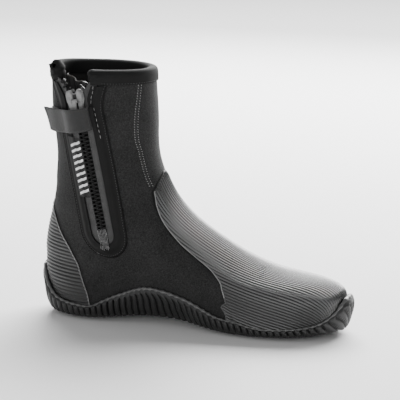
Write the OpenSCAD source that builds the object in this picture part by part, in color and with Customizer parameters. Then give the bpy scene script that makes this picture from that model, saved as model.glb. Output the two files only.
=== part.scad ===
// Zipped neoprene boot for a left foot: a stitched neoprene upper over a ribbed rubber sole,
// with rubber toe and heel overlays, a side zip and a hook-and-loop tab that covers the slider.
// +X points to the toe, +Z up, and the zip is on the inner side of the foot, towards -Y.
// The origin is on the floor under the middle of the boot.

/* [Upper] */
// Thickness of the neoprene panels
neoprene_t = 5; // [4.6:0.1:5]
// Thickness of the plush lining
lining_t = 0.8; // [0.6:0.1:0.9]
// Thickness of the ribbed rubber on the toe and heel
overlay_t = 1.5; // [1:0.1:1.6]
// Thickness of the smooth placket round the zip
placket_t = 1.2; // [0.8:0.1:1.2]
// Half the width of the placket
placket_half = 23; // [20:0.5:23]
// Depth of the binding over the collar's edge
binding_h = 13; // [10:0.5:14]

/* [Sole] */
// How far the sidewall stands out from the upper along the foot
rand_out = 4.3; // [3.8:0.1:4.6]
// How much further it stands out round the back of the heel
heel_bulge = 1.7; // [0:0.1:1.7]
// Further out again at the toe
toe_bulge = 4; // [0:0.1:4]
// Height of the outsole's plate
plate_h = 5.2; // [4:0.1:5.2]
// Height of the tread lugs
lug_h = 2.3; // [1.5:0.1:2.3]
// How far the waist of the sole is lifted off the floor
arch_lift = 5; // [3:0.5:6]
// How far the toe is lifted off the floor
toe_spring = 6; // [4:0.5:7]

/* [Zip] */
// Distance from one tooth to the next on the same tape
tooth_pitch = 3.5; // [3.4:0.1:3.8]
// Length of the slider
slider_l = 25; // [23:0.5:25]
// Half the width across the slider's shoulders
slider_half = 8.8; // [8:0.1:9]
// Length of the pull from its pin to its end
pull_l = 26; // [20:1:27]

/* [Tab] */
// Width of the hook-and-loop tab
tab_w = 20.5; // [18:0.5:21]
// Thickness of the tab's webbing
tab_t = 1.3; // [1:0.1:1.4]

/* [Hidden] */

gap = 0.4;              // room between glued or stitched layers
top_z = 231;            // top of the collar
centre_x = 3.3;         // puts the origin under the middle of the boot
toe_in = -7;            // the toe curves to the inner side
lean = -7;              // the shaft leans to the inner side
heel_spring = 3;

// The last, cut into level sections. Each row is a height, the heel, the shin or toe, the widest
// place, the inner and outer half widths, how square the back and the front are (2 is an
// ellipse), and the share by which the waist draws in on the inner and the outer side.
SECTIONS = [
  [  2, -139,   133,  52, 43,   48,   2.7, 2.3,  .40, .14],
  [ 12, -141,   134,  50, 44,   49,   2.7, 2.3,  .36, .12],
  [ 24, -143,   136,  44, 44,   49,   2.6, 2.25, .28, .10],
  [ 34, -145,   134,  32, 43,   47,   2.5, 2.2,  .20, .08],
  [ 42, -146,   120,  18, 41,   44,   2.4, 2.1,  .12, .05],
  [ 50, -146,    82,   0, 39.5, 41.5, 2.3, 2.0,  .06, .02],
  [ 60, -146,    53, -20, 38,   39,   2.3, 1.9,  .02, 0],
  [ 76, -143.5,  23, -45, 36.5, 37,   2.2, 1.8,  0,   0],
  [ 96, -138.5,  -6, -65, 35.5, 35.5, 2.2, 1.8,  0,   0],
  [118, -136,   -25, -76, 35,   35,   2.1, 1.9,  0,   0],
  [150, -133.5, -37, -84, 34.5, 34.5, 2.1, 2.0,  0,   0],
  [190, -136,   -38, -88, 34.5, 34.5, 2.1, 2.1,  0,   0],
  [231, -136,   -41, -89, 35,   35,   2.1, 2.1,  0,   0]];

// Heights of the panels' rows, closest together over the top of the toe
ROWS = [8, 13, 19, 25, 30, 34, 37.5, 40.5, 43, 45.5, 48, 51, 55, 60, 66, 73, 81, 90, 100, 111,
  123, 136, 152, 170, 188, 205, 218, 229];

// Half the angle of the front panels at a height: the vamp's edge, then the shin seams
FRONT_HALF = [[8, 91.4], [18, 91], [28, 90.4], [41, 83], [50, 70], [57, 62], [65, 58], [78, 54], [97, 47],
  [108, 42], [120, 36], [136, 36], [156, 37], [168, 41], [188, 41], [216, 33], [229, 31]];
VAMP_TIP = [[120, 36], [129, 21], [136, 3]];
// Half the angle of the heel counter at a height
COUNTER_HALF = [[8, 47], [40, 45.5], [61, 45], [76, 38], [90, 27], [98, 14], [102, 4]];
// Top of the sidewall at an angle from the toe: low at the ball, high at the waist and the heel
RAND_TOP = [[-10, 27.5], [0, 29], [10, 27.5], [22, 19], [38, 12], [66, 9.4], [84, 10.5],
  [92, 15], [95, 19], [100, 28], [106, 34], [111, 33.5], [120, 25], [132, 13.5], [142, 13.5],
  [151, 15], [159, 19], [166, 26], [172, 34], [176, 38.5], [180, 40]];

function clamp01(v) = min(max(v, 0), 1);
function smooth(v) = let(t = clamp01(v)) t * t * (3 - 2 * t);
function mix(a, b, t) = a + (b - a) * t;
function unit(v) = v / norm(v);

// A smooth curve through the rows of a table, read at v
function span(tab, v, i = 0) = i >= len(tab) - 2 || v < tab[i + 1][0] ? i : span(tab, v, i + 1);
function slope(tab, i) =
  let(a = tab[max(i - 1, 0)], b = tab[min(i + 1, len(tab) - 1)]) (b - a) / (b[0] - a[0]);
function curve(tab, v) =
  let(i = span(tab, v), a = tab[i], b = tab[i + 1], h = b[0] - a[0], t = (v - a[0]) / h)
  (2 * t ^ 3 - 3 * t ^ 2 + 1) * a + (t ^ 3 - 2 * t ^ 2 + t) * h * slope(tab, i)
  + (3 * t ^ 2 - 2 * t ^ 3) * b + (t ^ 3 - t ^ 2) * h * slope(tab, i + 1);

function spring(x) =
  toe_spring * clamp01((x - 60) / 85) ^ 2 + heel_spring * clamp01((-100 - x) / 45) ^ 2;
function arch(x) = arch_lift * exp(-abs((x + 34) / 48) ^ 3);

// A point of the bare last at angle a, where 0 is the toe and 270 the inner side
function wall(s, z, a) =
  let(c = cos(a), k = sin(a), n = c > 0 ? s[7] : s[6],
    x = s[3] + sign(c) * (c > 0 ? s[2] - s[3] : s[3] - s[1]) * abs(c) ^ (2 / n),
    f = clamp01((x + 40) / 173),
    draw_in = (k < 0 ? s[8] : s[9]) * exp(-((x + 28) / 48) ^ 2),
    y = (sign(k) * (k > 0 ? s[5] : s[4]) * abs(k) ^ (2 / n) + toe_in * f * f) * (1 - draw_in))
  [x + centre_x, y + lean * smooth((z - 40) / 190),
    z + spring(x) + arch(x) * (1 - smooth(z / 40))];

// Points of the upper's surface at one height, each raised by off along the surface's normal
function skin_row(z, angles, off) =
  let(e = 0.6, hi = min(z + e, top_z), lo = z - e, s = curve(SECTIONS, z),
    sh = curve(SECTIONS, hi), sl = curve(SECTIONS, lo))
  [for (a = angles)
    let(n = cross(wall(s, z, a + 1) - wall(s, z, a - 1), wall(sh, hi, a) - wall(sl, lo, a)))
    wall(s, z, a) + off * unit(n)];
function skin(z, a, off) = skin_row(z, [a], off)[0];

// The zip runs straight between two places on the inner side
zip_foot_z = 72;
zip_head_z = 214;
function zip_x(z) = mix(-77.5, -103, (z - zip_foot_z) / (zip_head_z - zip_foot_z));
// Angle on the inner side of the point that lies w in front of the zip
function zip_angle(z, w) =
  let(s = curve(SECTIONS, z), d = zip_x(z) + w - s[3],
    r = min(abs(d) / (d > 0 ? s[2] - s[3] : s[3] - s[1]), 1))
  360 - acos(sign(d) * r ^ ((d > 0 ? s[7] : s[6]) / 2));
function patch(z, w, off) = skin(z, zip_angle(z, w), off);

tape_off = 0.9;         // height of the tapes' middle over the neoprene
tape_t = 0.8;
zip_start = patch(zip_foot_z, 0, tape_off);
zip_up = unit(patch(zip_head_z, 0, tape_off) - zip_start);
zip_lean = patch(145, 0, 1) - patch(145, 0, 0);
zip_out = unit(zip_lean - (zip_lean * zip_up) * zip_up);
zip_side = cross(zip_up, zip_out);
function zip_point(s, w, n) = zip_start + s * zip_up + w * zip_side + n * zip_out;
function zip_s(z) = (z - zip_start[2]) / zip_up[2];
// Draws its children in the zip's frame: X across it, Y up it and Z outwards
module on_zip() {
  multmatrix([for (i = [0:2]) [zip_side[i], zip_up[i], zip_out[i], zip_start[i]]])
    children();
}

slot_half = 10.3;       // half the slot in the neoprene
tape_edge = 4.6;        // from the middle of the zip to a tape's toothed edge
tape_edge_w = 16.5;     // to its sewn edge
v_start = 134;          // where the tapes part above the slider
v_l = 18;
v_half = 12;
function part(s) = v_half * max((s - v_start) / v_l, 0) ^ 1.4;
// A point of the tapes: flat beside the teeth, and on the skin where they part and are sewn
function tape_point(z, w, n) =
  let(s = zip_s(z), t = abs(w) > slot_half + 0.1 ? 1 : smooth((s - slider_s - slider_l) / 7))
  mix(zip_point(s, w, n), patch(z, w, tape_off + n), t);
// Draws its children upright on a tape, w from the middle of the zip
module on_tape(s, w) {
  turn = 1.3;             // how far the skin turns away in each millimetre across, in degrees
  p = tape_point(zip_start[2] + s * zip_up[2], w, 0) - zip_start;
  on_zip() translate([p * zip_side, p * zip_up, p * zip_out])
    rotate([0, turn * w * smooth((s - slider_s - slider_l) / 7), 0])
      children();
}

// A closed sheet between two grids of points with rows upwards and columns to the right
module shell(outer, inner) {
  r = len(outer) - 1;
  c = len(outer[0]) - 1;
  m = (r + 1) * (c + 1);
  function id(i, j) = i * (c + 1) + j;
  function quad(p, q, t, u) = [[p, q, t], [p, t, u]];
  polyhedron(
    concat([for (row = outer) each row], [for (row = inner) each row]),
    concat(
      [for (i = [0:r - 1], j = [0:c - 1]) each concat(
        quad(id(i, j), id(i + 1, j), id(i + 1, j + 1), id(i, j + 1)),
        [[m + id(i, j), m + id(i + 1, j + 1), m + id(i + 1, j)],
          [m + id(i, j), m + id(i, j + 1), m + id(i + 1, j + 1)]])],
      [for (j = [0:c - 1]) each concat(
        quad(id(0, j), id(0, j + 1), m + id(0, j + 1), m + id(0, j)),
        quad(id(r, j + 1), id(r, j), m + id(r, j), m + id(r, j + 1)))],
      [for (i = [0:r - 1]) each concat(
        quad(id(i + 1, 0), id(i, 0), m + id(i, 0), m + id(i + 1, 0)),
        quad(id(i, c), id(i + 1, c), m + id(i + 1, c), m + id(i, c)))]),
    convexity = 8);
}

// A ring of closed loops of points, the last joined to the first
module ring(loops) {
  n = len(loops);
  k = len(loops[0]);
  function id(i, j) = (i % n) * k + j % k;
  polyhedron([for (l = loops) each l],
    [for (i = [0:n - 1], j = [0:k - 1])
      each [[id(i, j), id(i, j + 1), id(i + 1, j + 1)], [id(i, j), id(i + 1, j + 1), id(i + 1, j)]]],
    convexity = 8);
}

function steps(a, b, n) = [for (i = [0:n]) mix(a, b, i / n)];
// Angles from a to b, spread evenly along the boxy outline instead of round a circle
squareness = 1.2;
function bend(t, p) =
  let(q = floor(t / 90) * 90, u = t - q) q + atan2(sin(u) ^ p, cos(u) ^ p);
function angles(a, b, n) =
  [for (t = steps(bend(a, 1 / squareness), bend(b, 1 / squareness), n)) bend(t, squareness)];
function rows(z0, z1) = concat([z0], [for (z = ROWS) if (z > z0 + 0.5 && z < z1 - 0.5) z], [z1]);

// A panel of the upper between two edges, given as functions of the height
module panel(zs, left, right, n, outer, inner) {
  shell([for (z = zs) skin_row(z, angles(left(z), right(z), n), outer)],
    [for (z = zs) skin_row(z, angles(left(z), right(z), n), inner)]);
}

// A sheet that fills the outline between two heights, inset from the surface
module sole_sheet(z0, z1, off, n = 26) {
  as = angles(174, 6, n);
  function level(z) =
    let(inner = skin_row(z, [for (a = as) 360 - a], off), outer = skin_row(z, as, off))
    [for (t = [0, 0.5, 1]) [for (j = [0:n]) mix(inner[j], outer[j], t)]];
  shell(level(z1), level(z0));
}

// Rubber sole
plate_z = 2.5;
module outsole_plate() {
  color("#242424") sole_sheet(plate_z, plate_z + plate_h, -2.2);
}

// One chevron bar of tread across half of the sole, from the middle line to the edge
module lug(x, y_mid, y_edge) {
  lug_w = 5.5;
  sweep_x = 4;
  low = min(spring(x), spring(x + lug_w + sweep_x));
  translate([centre_x, 0, low])
    linear_extrude(lug_h)
      polygon([[x + sweep_x, y_mid], [x + sweep_x + lug_w, y_mid], [x + lug_w, y_edge],
        [x, y_edge]]);
}
module tread_lugs() {
  lug_pitch = 9.5;
  edge_inset = 11;
  s = curve(SECTIONS, plate_z);
  function edge_angle(x) =
    acos(sign(x - s[3]) * (abs(x - s[3]) / (x > s[3] ? s[2] - s[3] : s[3] - s[1]))
      ^ ((x > s[3] ? s[7] : s[6]) / 2));
  color("#202020")
    for (x = concat([for (x = [-128:lug_pitch:-96]) x], [for (x = [22:lug_pitch:112]) x]))
      for (side = [-1, 1])
        let(a = edge_angle(x), y = wall(s, plate_z, side > 0 ? a : 360 - a)[1],
          mid = toe_in * clamp01((x + 40) / 173) ^ 2)
          if (side * (y - mid) > edge_inset + 4)
            lug(x, mid + side * 1.5, y - side * edge_inset);
}

function front_angle(a) = a > 180 ? 360 - a : a;
module sidewall_rand() {
  function out(h) = rand_out + heel_bulge * smooth((h - 130) / 30)
    + toe_bulge * (1 - smooth((h - 4) / 24));
  // The overlays lie between the upper and the sidewall, so it starts further out there
  function bed(h) = gap + (h < 96 || h > 129 ? overlay_t + gap : 0);
  flange_top = 7.1;       // the foot of the wall runs in under the edge of the upper
  color("#3a3a3a")
    ring([for (t = [0:5:355])
      let(a = bend(t, squareness), h = front_angle(a), z = curve(RAND_TOP, h)[1],
        o = out(h), b = bed(h), d = z - plate_z,
        profile = [[plate_z, -1.8], [plate_z, o - 3.2], [plate_z + 0.35 * d, o - 0.3],
          [plate_z + 0.7 * d, o], [z - 0.12 * d, o - 0.4], [z, o - 1.2], [z, b],
          [mix(z, flange_top, 0.5), b], [flange_top, b], [flange_top, -1.8]])
      [for (p = profile) skin(p[0], a, p[1])]]);
}

module insole_board() {
  color("#6b6252") sole_sheet(8.1, 9.6, -neoprene_t - 1);
}
module footbed() {
  color("#2b3440") sole_sheet(10, 14, -neoprene_t - lining_t - 1.8);
}

// Neoprene upper
seam = 0.15;
function front_half(z) = curve(FRONT_HALF, z)[1];
module front_panel(zs, n) {
  panel(zs, function(z) -front_half(z), function(z) front_half(z), n, 0, -neoprene_t);
}
// The inner panels meet in a seam that runs up from the heel to the foot of the zip's slot
binding_end = [17.5, -18.5];    // how far the binding's ends are from the middle of the zip
function slot_w(z) = min(slot_half + 0.8 * part(zip_s(z)), 19);
function slot_edge(z, side) =
  mix(mix(228, zip_angle(max(z, 60), 0), smooth((z - 34) / 26)) + side * 0.2,
    zip_angle(z, side * slot_w(z)), smooth((z - 61) / 9));
module forefoot_panel() {
  color("#2a2a2a") front_panel(rows(8, 99.6), 18);
}
module shin_panel() {
  color("#2c2c2c") front_panel(rows(100, 229), 16);
}
module medial_quarter() {
  color("#303030") panel(rows(8, 229), function(z) slot_edge(z, 1),
    function(z) 360 - front_half(z) - seam, 20, 0, -neoprene_t);
}
module lateral_quarter() {
  color("#303030") panel(rows(8, 229), function(z) front_half(z) + seam, function(z) 180 - seam,
    18, 0, -neoprene_t);
}
module medial_back_panel() {
  color("#2c2c2c") panel(rows(8, 229), function(z) 180 + seam, function(z) slot_edge(z, -1), 6,
    0, -neoprene_t);
}

// Ribbed rubber overlays
module toe_vamp() {
  function half(z) = z < VAMP_TIP[0][0] ? front_half(z) : curve(VAMP_TIP, z)[1];
  zs = concat(rows(8, 123), [126.5, 129.5, 132, 134, 136]);
  color("#4a4a4a") panel(zs, function(z) -half(z), function(z) half(z), 18, gap + overlay_t, gap);
}
module heel_counter() {
  function half(z) = curve(COUNTER_HALF, z)[1];
  color("#444444") panel(concat(rows(8, 90), [94, 97, 100, 102]), function(z) 180 - half(z),
    function(z) 180 + half(z), 10, gap + overlay_t, gap);
}

// Lining
lining_out = -neoprene_t - 2 * gap;
lining_in = lining_out - lining_t;
module lining_foot() {
  // It stands on the footbed's edge, a little off the hollow of the waist
  zs = rows(14.4, 70);
  function slack(z) = 1.1 * smooth((40 - z) / 16);
  color("#3c3f42") ring([for (t = [0:9:351]) let(a = bend(t, squareness))
    concat([for (z = zs) skin(z, a, lining_in - slack(z))],
      [for (i = [len(zs) - 1:-1:0]) skin(zs[i], a, lining_out - slack(zs[i]))])]);
}
module lining_shaft() {
  function edge(z, side) = zip_angle(z, side * (slot_w(z) + 0.7));
  color("#3c3f42") panel(rows(70.4, 228),
    function(z) edge(z, 1), function(z) 360 + edge(z, -1), 24, lining_out, lining_in);
}

// Folded tape round the collar, open at the zip
module collar_binding() {
  t = 1.2;
  o = gap + 0.1;
  z0 = top_z - binding_h;
  n = 26;
  // The ends stand further out, over the ends of the zip's tapes
  function cols(z, off) =
    let(as = steps(zip_angle(z, binding_end[0]), 360 + zip_angle(z, binding_end[1]), n))
    [for (j = [0:n]) skin(z, as[j], off > 0 && min(j, n - j) < 2 ? off + 1.2 : off)];
  inside = lining_in - 0.5;
  color("#141414") shell(
    [for (p = [[z0, o + t], [top_z - 2, o + t], [top_z, 0.8], [top_z, inside - t + 1.2],
      [top_z - 2, inside - t], [z0, inside - t]]) cols(p[0], p[1])],
    [for (p = [[z0, o], [top_z - 2.2, o], [top_z - 1.5, 0.1], [top_z - 1.5, inside + 0.3],
      [top_z - 2.2, inside], [z0, inside]]) cols(p[0], p[1])]);
}

// Zip
foot_z = 83;            // middle of the round foot of the placket
placket_bed = tape_off + tape_t / 2 + 0.65;
module zip_placket() {
  bed = placket_bed;
  inner = slot_half + 0.3;
  // Round the foot of the U, then up both sides, widening at the collar
  straight = [217, 213, 208, 203, 196, 188, 180, 164, 148, 132, 116, 100, 90];
  function flare(z) = 8 * clamp01((z - 196) / 21) ^ 1.5;
  function path(r, bow) = concat(
    [for (z = straight) [z, r + bow * flare(z) + (1 - bow) * 0.75 * part(zip_s(z))]],
    [for (a = [0:-18:-180]) [foot_z + r * sin(a), r * cos(a)]],
    [for (i = [len(straight) - 1:-1:0]) let(z = straight[i])
      [z, -r - bow * 0.4 * flare(z) - (1 - bow) * 0.75 * part(zip_s(z))]]);
  n = 4;
  radii = steps(inner, placket_half, n);
  // Columns run outwards from the slot, so the rows go down the rear side and up the front
  function grid(off) =
    let(lines = [for (i = [0:n]) path(radii[i], i / n)])
    [for (j = [len(lines[0]) - 1:-1:0])
      [for (i = [n:-1:0]) patch(lines[i][j][0], lines[i][j][1], off)]];
  color("#1b1b1b") shell(grid(bed + placket_t), grid(bed));
}

module zip_gusset() {
  t = 1.4;
  off = lining_in - 0.4;
  zs = [70, 84, 100, 118, 138, 158, 178, 196, 208, 217];
  ws = steps(-19, 19, 6);
  function fold(z, w) = off - 1.2 * abs(sin(w * 18)) * clamp01((z - 190) / 30);
  color("#202020") shell([for (z = zs) [for (w = ws) patch(z, w, fold(z, w))]],
    [for (z = zs) [for (w = ws) patch(z, w, fold(z, w) - t)]]);
}

module zip_tape(side) {
  zs = [64, 70.5, 72.4, 90, 110, 130, 150, 170, 180, 188, 193, 197, 200, 204, 207, 210, 213,
    215.5, 218, 220, 222];
  function edge(s) = s < 0 ? 0.2 : tape_edge + part(s);
  function sewn_edge(z) = min(tape_edge_w + 0.6 * part(zip_s(z)),
    sqrt(placket_half ^ 2 - max(foot_z - z, 0) ^ 2) - 1.2);
  function point(z, k, n) =
    let(s = zip_s(z), e = edge(s), slot = slot_half + part(s),
      w = [e, mix(e, slot, 0.6), slot, mix(slot, sewn_edge(z), 0.5), sewn_edge(z)][k])
    tape_point(z, side * w, n);
  ks = side > 0 ? [0:4] : [4:-1:0];
  color("#5a5a5c") shell([for (z = zs) [for (k = ks) point(z, k, tape_t / 2)]],
    [for (z = zs) [for (k = ks) point(z, k, -tape_t / 2)]]);
}
module zip_tape_front() {
  zip_tape(1);
}
module zip_tape_rear() {
  zip_tape(-1);
}

tooth_foot = 4.1;
// One moulded tooth: a foot by the tape's edge and a head that reaches past the middle
module tooth() {
  l = tooth_pitch / 2 - 0.35;
  translate([0, 0, -1.7])
    linear_extrude(3.4)
      polygon([[tooth_foot, -l / 2], [tooth_foot, l / 2], [1.4, l / 2], [0.6, l / 2 - 0.25],
        [-0.6, l / 2], [-1.6, l / 2], [-1.9, 0], [-1.6, -l / 2], [-0.6, -l / 2],
        [0.6, 0.25 - l / 2], [1.4, -l / 2]]);
}
module teeth(side) {
  first = 5.2 + (side > 0 ? 0 : tooth_pitch / 2);
  color("#161616")
    for (s = [first:tooth_pitch:147])
      on_tape(s, side * part(s))
        rotate(part(s) < 2 ? 0 : -side * atan(part(s + 1) - part(s)))
          mirror([side > 0 ? 0 : 1, 0, 0])
            tooth();
}
module zip_teeth_front() {
  teeth(1);
}
module zip_teeth_rear() {
  teeth(-1);
}
module zip_top_stops() {
  s = 149.6;
  color("#161616")
    for (side = [-1, 1])
      on_tape(s, side * (part(s) + tooth_foot - 2.5))
        cube([5, 2.6, 3.4], center = true);
}
module zip_bottom_stop() {
  color("#161616") on_zip() translate([-3.4, 1.6, -1.7]) cube([6.8, 2.4, 3.4]);
}

// A label sewn to the rear of the placket, lying over the tape as far as the teeth
module reflective_strip() {
  t = 0.35;
  zs = steps(116, 170, 6);
  function row(z, up) = concat(
    [for (w = [-14.6, -10.2]) patch(z, w, placket_bed + placket_t + 0.2 + up)],
    [for (w = [-8.6, -4.4]) tape_point(z, w, tape_t / 2 + 0.05 + up)]);
  color("#9a9a9a") shell([for (z = zs) row(z, t)], [for (z = zs) row(z, 0)]);
}

// Slider in the zip's frame, its lower edge at slider_s
slider_s = 118.5;
plate_gap = 2.1;        // from the middle of the tapes to a plate
front_t = 2.2;
back_t = 1.8;
pin_s = slider_s + 15.5;
pin_n = 5.9;
pin_r = 0.9;
module slider_outline() {
  l = slider_l;
  h = slider_half;
  polygon([[-6.3, 0], [6.3, 0], [6.7, 7], [h, 15], [h, 20], [h - 1.6, l], [3.4, l], [0, l - 4],
    [-3.4, l], [1.6 - h, l], [-h, 20], [-h, 15], [-6.7, 7]]);
}
module slider_flanges(n0, n1) {
  for (side = [-1, 1])
    translate([side > 0 ? 5.3 : -6.5, 0.5, n0])
      cube([1.2, 11.5, n1 - n0]);
}
module slider_front_plate() {
  ear_t = 1.1;
  color("#b9b9bb") on_zip() {
    translate([0, slider_s, 0]) {
      translate([0, 0, plate_gap]) linear_extrude(front_t) slider_outline();
      slider_flanges(0.9, plate_gap + 0.5);
    }
    for (side = [-1, 1])
      translate([side * 2.65 - ear_t / 2, pin_s, pin_n])
        rotate([90, 0, 90])
          difference() {
            union() {
              cylinder(r = 1.3, h = ear_t, $fn = 32);
              translate([-1.3, -2, 0]) cube([2.6, 2, ear_t]);
            }
            translate([0, 0, -1]) cylinder(r = pin_r + 0.03, h = ear_t + 2, $fn = 32);
          }
  }
}
module slider_back_plate() {
  color("#a9a9ab") on_zip() translate([0, slider_s, 0]) {
    translate([0, 0, -plate_gap - back_t]) linear_extrude(back_t) slider_outline();
    slider_flanges(-plate_gap - 0.5, -0.9);
  }
}
module slider_pin() {
  color("#c8c8ca") on_zip() translate([-3.2, pin_s, pin_n]) rotate([0, 90, 0])
    cylinder(r = pin_r, h = 6.4, $fn = 32);
}
module pull_link() {
  color("#c4c4c6") on_zip()
    difference() {
      union() {
        translate([-1.9, pin_s, pin_n]) rotate([0, 90, 0]) cylinder(r = 1.4, h = 3.8, $fn = 32);
        translate([-1.5, pin_s - pull_l + 6, pin_n - 0.9]) cube([3, pull_l - 6.8, 1.5]);
      }
      translate([-3, pin_s, pin_n]) rotate([0, 90, 0]) cylinder(r = pin_r + 0.05, h = 6, $fn = 32);
    }
}
module pull_grip() {
  color("#2a2a2a") on_zip() translate([0, pin_s - pull_l, pin_n - 1.2])
    linear_extrude(2.1) {
      translate([-2.6, 2]) square([5.2, 3.8]);
      translate([0, 2.6]) circle(r = 2.6, $fn = 32);
    }
}

// Tab over the slider: sewn at the front of the zip, wrapped round the back of the shaft
tab_hinge_w = 10.4;
function tab_mid(x) = 188.3 + 0.17 * (x + 88);
// Each column has a place across the zip or an angle, and the inner face's height over the skin
TAB = [[10.4, 3.6], [9.6, 6.4], [7, 8.6], [3.5, 10.2], [0, 10.8], [-3.5, 10.6], [-7, 9.6],
  [-10.5, 7.6], [-14, 5.4], [-19, 4], [-25, 3.6]];
TAB_BACK = [[217, 3.6, 3.6], [209, 4.1, 3.9], [203, 5.4, 4.3], [199, 7.4, 5.2]];
module tab_sheet(cols, back, off0, off1) {
  function edge(v, k, t) =
    let(x = zip_x(186) + cols[k][0], z = tab_mid(x) + v * tab_w / 2)
    patch(z, cols[k][0], cols[k][1] + t);
  function back_edge(v, k, t) =
    let(z = tab_mid(-126 - 2 * k) + v * tab_w / 2)
    skin(z, back[k][0], (v > 0 ? back[k][1] : back[k][2]) + t);
  function row(v, t) = concat(
    [for (k = [len(back) - 1:-1:0]) back_edge(v, k, t)],
    [for (k = [len(cols) - 1:-1:0]) edge(v, k, t)]);
  shell([row(-1, off1), row(1, off1)], [row(-1, off0), row(1, off0)]);
}
module tab_webbing() {
  color("#6e6e70") tab_sheet(TAB, TAB_BACK, 0, tab_t);
}
module tab_hook_patch() {
  color("#262626") tab_sheet([TAB[10]], [TAB_BACK[0], TAB_BACK[1]], -1.2, -0.2);
}
module loop_patch() {
  color("#202020") shell(
    [for (v = [-1, 1]) [for (a = [207, 214, 221, 226]) skin(183 + v * 9.5, a, 1.7)]],
    [for (v = [-1, 1]) [for (a = [207, 214, 221, 226]) skin(183 + v * 9.5, a, gap)]]);
}
module tab_anchor() {
  zm = tab_mid(zip_x(186) + tab_hinge_w);
  off = placket_bed + placket_t + 0.2;
  color("#6e6e70") shell(
    [for (v = [-1, 1]) [for (w = [11.3, 13, 15]) patch(zm + v * tab_w / 2, w, off + tab_t)]],
    [for (v = [-1, 1]) [for (w = [11.3, 13, 15]) patch(zm + v * tab_w / 2, w, off)]]);
}

outsole_plate();
tread_lugs();
sidewall_rand();
insole_board();
footbed();
forefoot_panel();
shin_panel();
medial_quarter();
lateral_quarter();
medial_back_panel();
toe_vamp();
heel_counter();
lining_foot();
lining_shaft();
collar_binding();
zip_placket();
zip_gusset();
zip_tape_front();
zip_tape_rear();
zip_teeth_front();
zip_teeth_rear();
zip_top_stops();
zip_bottom_stop();
reflective_strip();
loop_patch();
tab_anchor();
slider_front_plate();
slider_back_plate();
slider_pin();
pull_link();
pull_grip();
tab_webbing();
tab_hook_patch();
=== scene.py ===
"""Zipped neoprene boot for a left foot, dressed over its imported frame.

Lengths are millimetres until a mesh is made. The foot points to +X, the zip is on the inner
side towards -Y, and angles run round the last from 0 at the toe to 270 on the inner side.
"""

import math

import bmesh
import bpy
import numpy as np
from mathutils import Matrix, Vector


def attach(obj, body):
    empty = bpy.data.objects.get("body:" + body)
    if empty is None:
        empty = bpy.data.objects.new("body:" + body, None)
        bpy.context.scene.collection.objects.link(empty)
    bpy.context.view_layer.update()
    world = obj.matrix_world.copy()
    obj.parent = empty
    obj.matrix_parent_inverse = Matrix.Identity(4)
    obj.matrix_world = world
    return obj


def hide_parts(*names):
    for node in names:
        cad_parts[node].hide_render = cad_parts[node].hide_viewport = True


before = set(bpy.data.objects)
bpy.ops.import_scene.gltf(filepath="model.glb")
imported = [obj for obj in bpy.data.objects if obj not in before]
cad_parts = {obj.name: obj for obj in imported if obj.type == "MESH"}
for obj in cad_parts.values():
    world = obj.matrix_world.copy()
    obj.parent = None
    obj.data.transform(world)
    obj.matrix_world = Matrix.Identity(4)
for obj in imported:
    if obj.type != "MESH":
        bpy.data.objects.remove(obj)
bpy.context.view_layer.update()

MM = 0.001

# ---------------------------------------------------------------- the last

# height, heel, shin or toe, widest place, inner and outer half widths, squareness of the back
# and the front, draw-in of the waist on the inner and the outer side
SECTIONS = np.array([
    [2, -139, 133, 52, 43, 48, 2.7, 2.3, .40, .14],
    [12, -141, 134, 50, 44, 49, 2.7, 2.3, .36, .12],
    [24, -143, 136, 44, 44, 49, 2.6, 2.25, .28, .10],
    [34, -145, 134, 32, 43, 47, 2.5, 2.2, .20, .08],
    [42, -146, 120, 18, 41, 44, 2.4, 2.1, .12, .05],
    [50, -146, 82, 0, 39.5, 41.5, 2.3, 2.0, .06, .02],
    [60, -146, 53, -20, 38, 39, 2.3, 1.9, .02, 0],
    [76, -143.5, 23, -45, 36.5, 37, 2.2, 1.8, 0, 0],
    [96, -138.5, -6, -65, 35.5, 35.5, 2.2, 1.8, 0, 0],
    [118, -136, -25, -76, 35, 35, 2.1, 1.9, 0, 0],
    [150, -133.5, -37, -84, 34.5, 34.5, 2.1, 2.0, 0, 0],
    [190, -136, -38, -88, 34.5, 34.5, 2.1, 2.1, 0, 0],
    [231, -136, -41, -89, 35, 35, 2.1, 2.1, 0, 0]])
# height, half angle of the front panels
FRONT_HALF = [[8, 91.4], [18, 91], [28, 90.4], [41, 83], [50, 70], [57, 62], [65, 58], [78, 54],
              [97, 47], [108, 42], [120, 36], [136, 36], [156, 37], [168, 41], [188, 41],
              [216, 33], [229, 31]]
# height, half angle of the rubber at the vamp's tip and on the heel
VAMP_TIP = [[120, 36], [129, 21], [136, 3]]
COUNTER_HALF = [[8, 47], [40, 45.5], [61, 45], [76, 38], [90, 27], [98, 14], [102, 4]]
# angle from the toe, height of the sidewall's top
RAND_TOP = [[-10, 27.5], [0, 29], [10, 27.5], [22, 19], [38, 12], [66, 9.4], [84, 10.5],
            [92, 15], [95, 19], [100, 28], [106, 34], [111, 33.5], [120, 25], [132, 13.5],
            [142, 13.5], [151, 15], [159, 19], [166, 26], [172, 34], [176, 38.5], [180, 40]]
TOP = 231
CENTRE = 3.3
TOE_IN = -7
LEAN = -7
TOE_SPRING = 6
HEEL_SPRING = 3
ARCH = 5


def smooth(v):
    t = np.clip(v, 0, 1)
    return t * t * (3 - 2 * t)


def mix(a, b, t):
    return a + (b - a) * t


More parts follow.
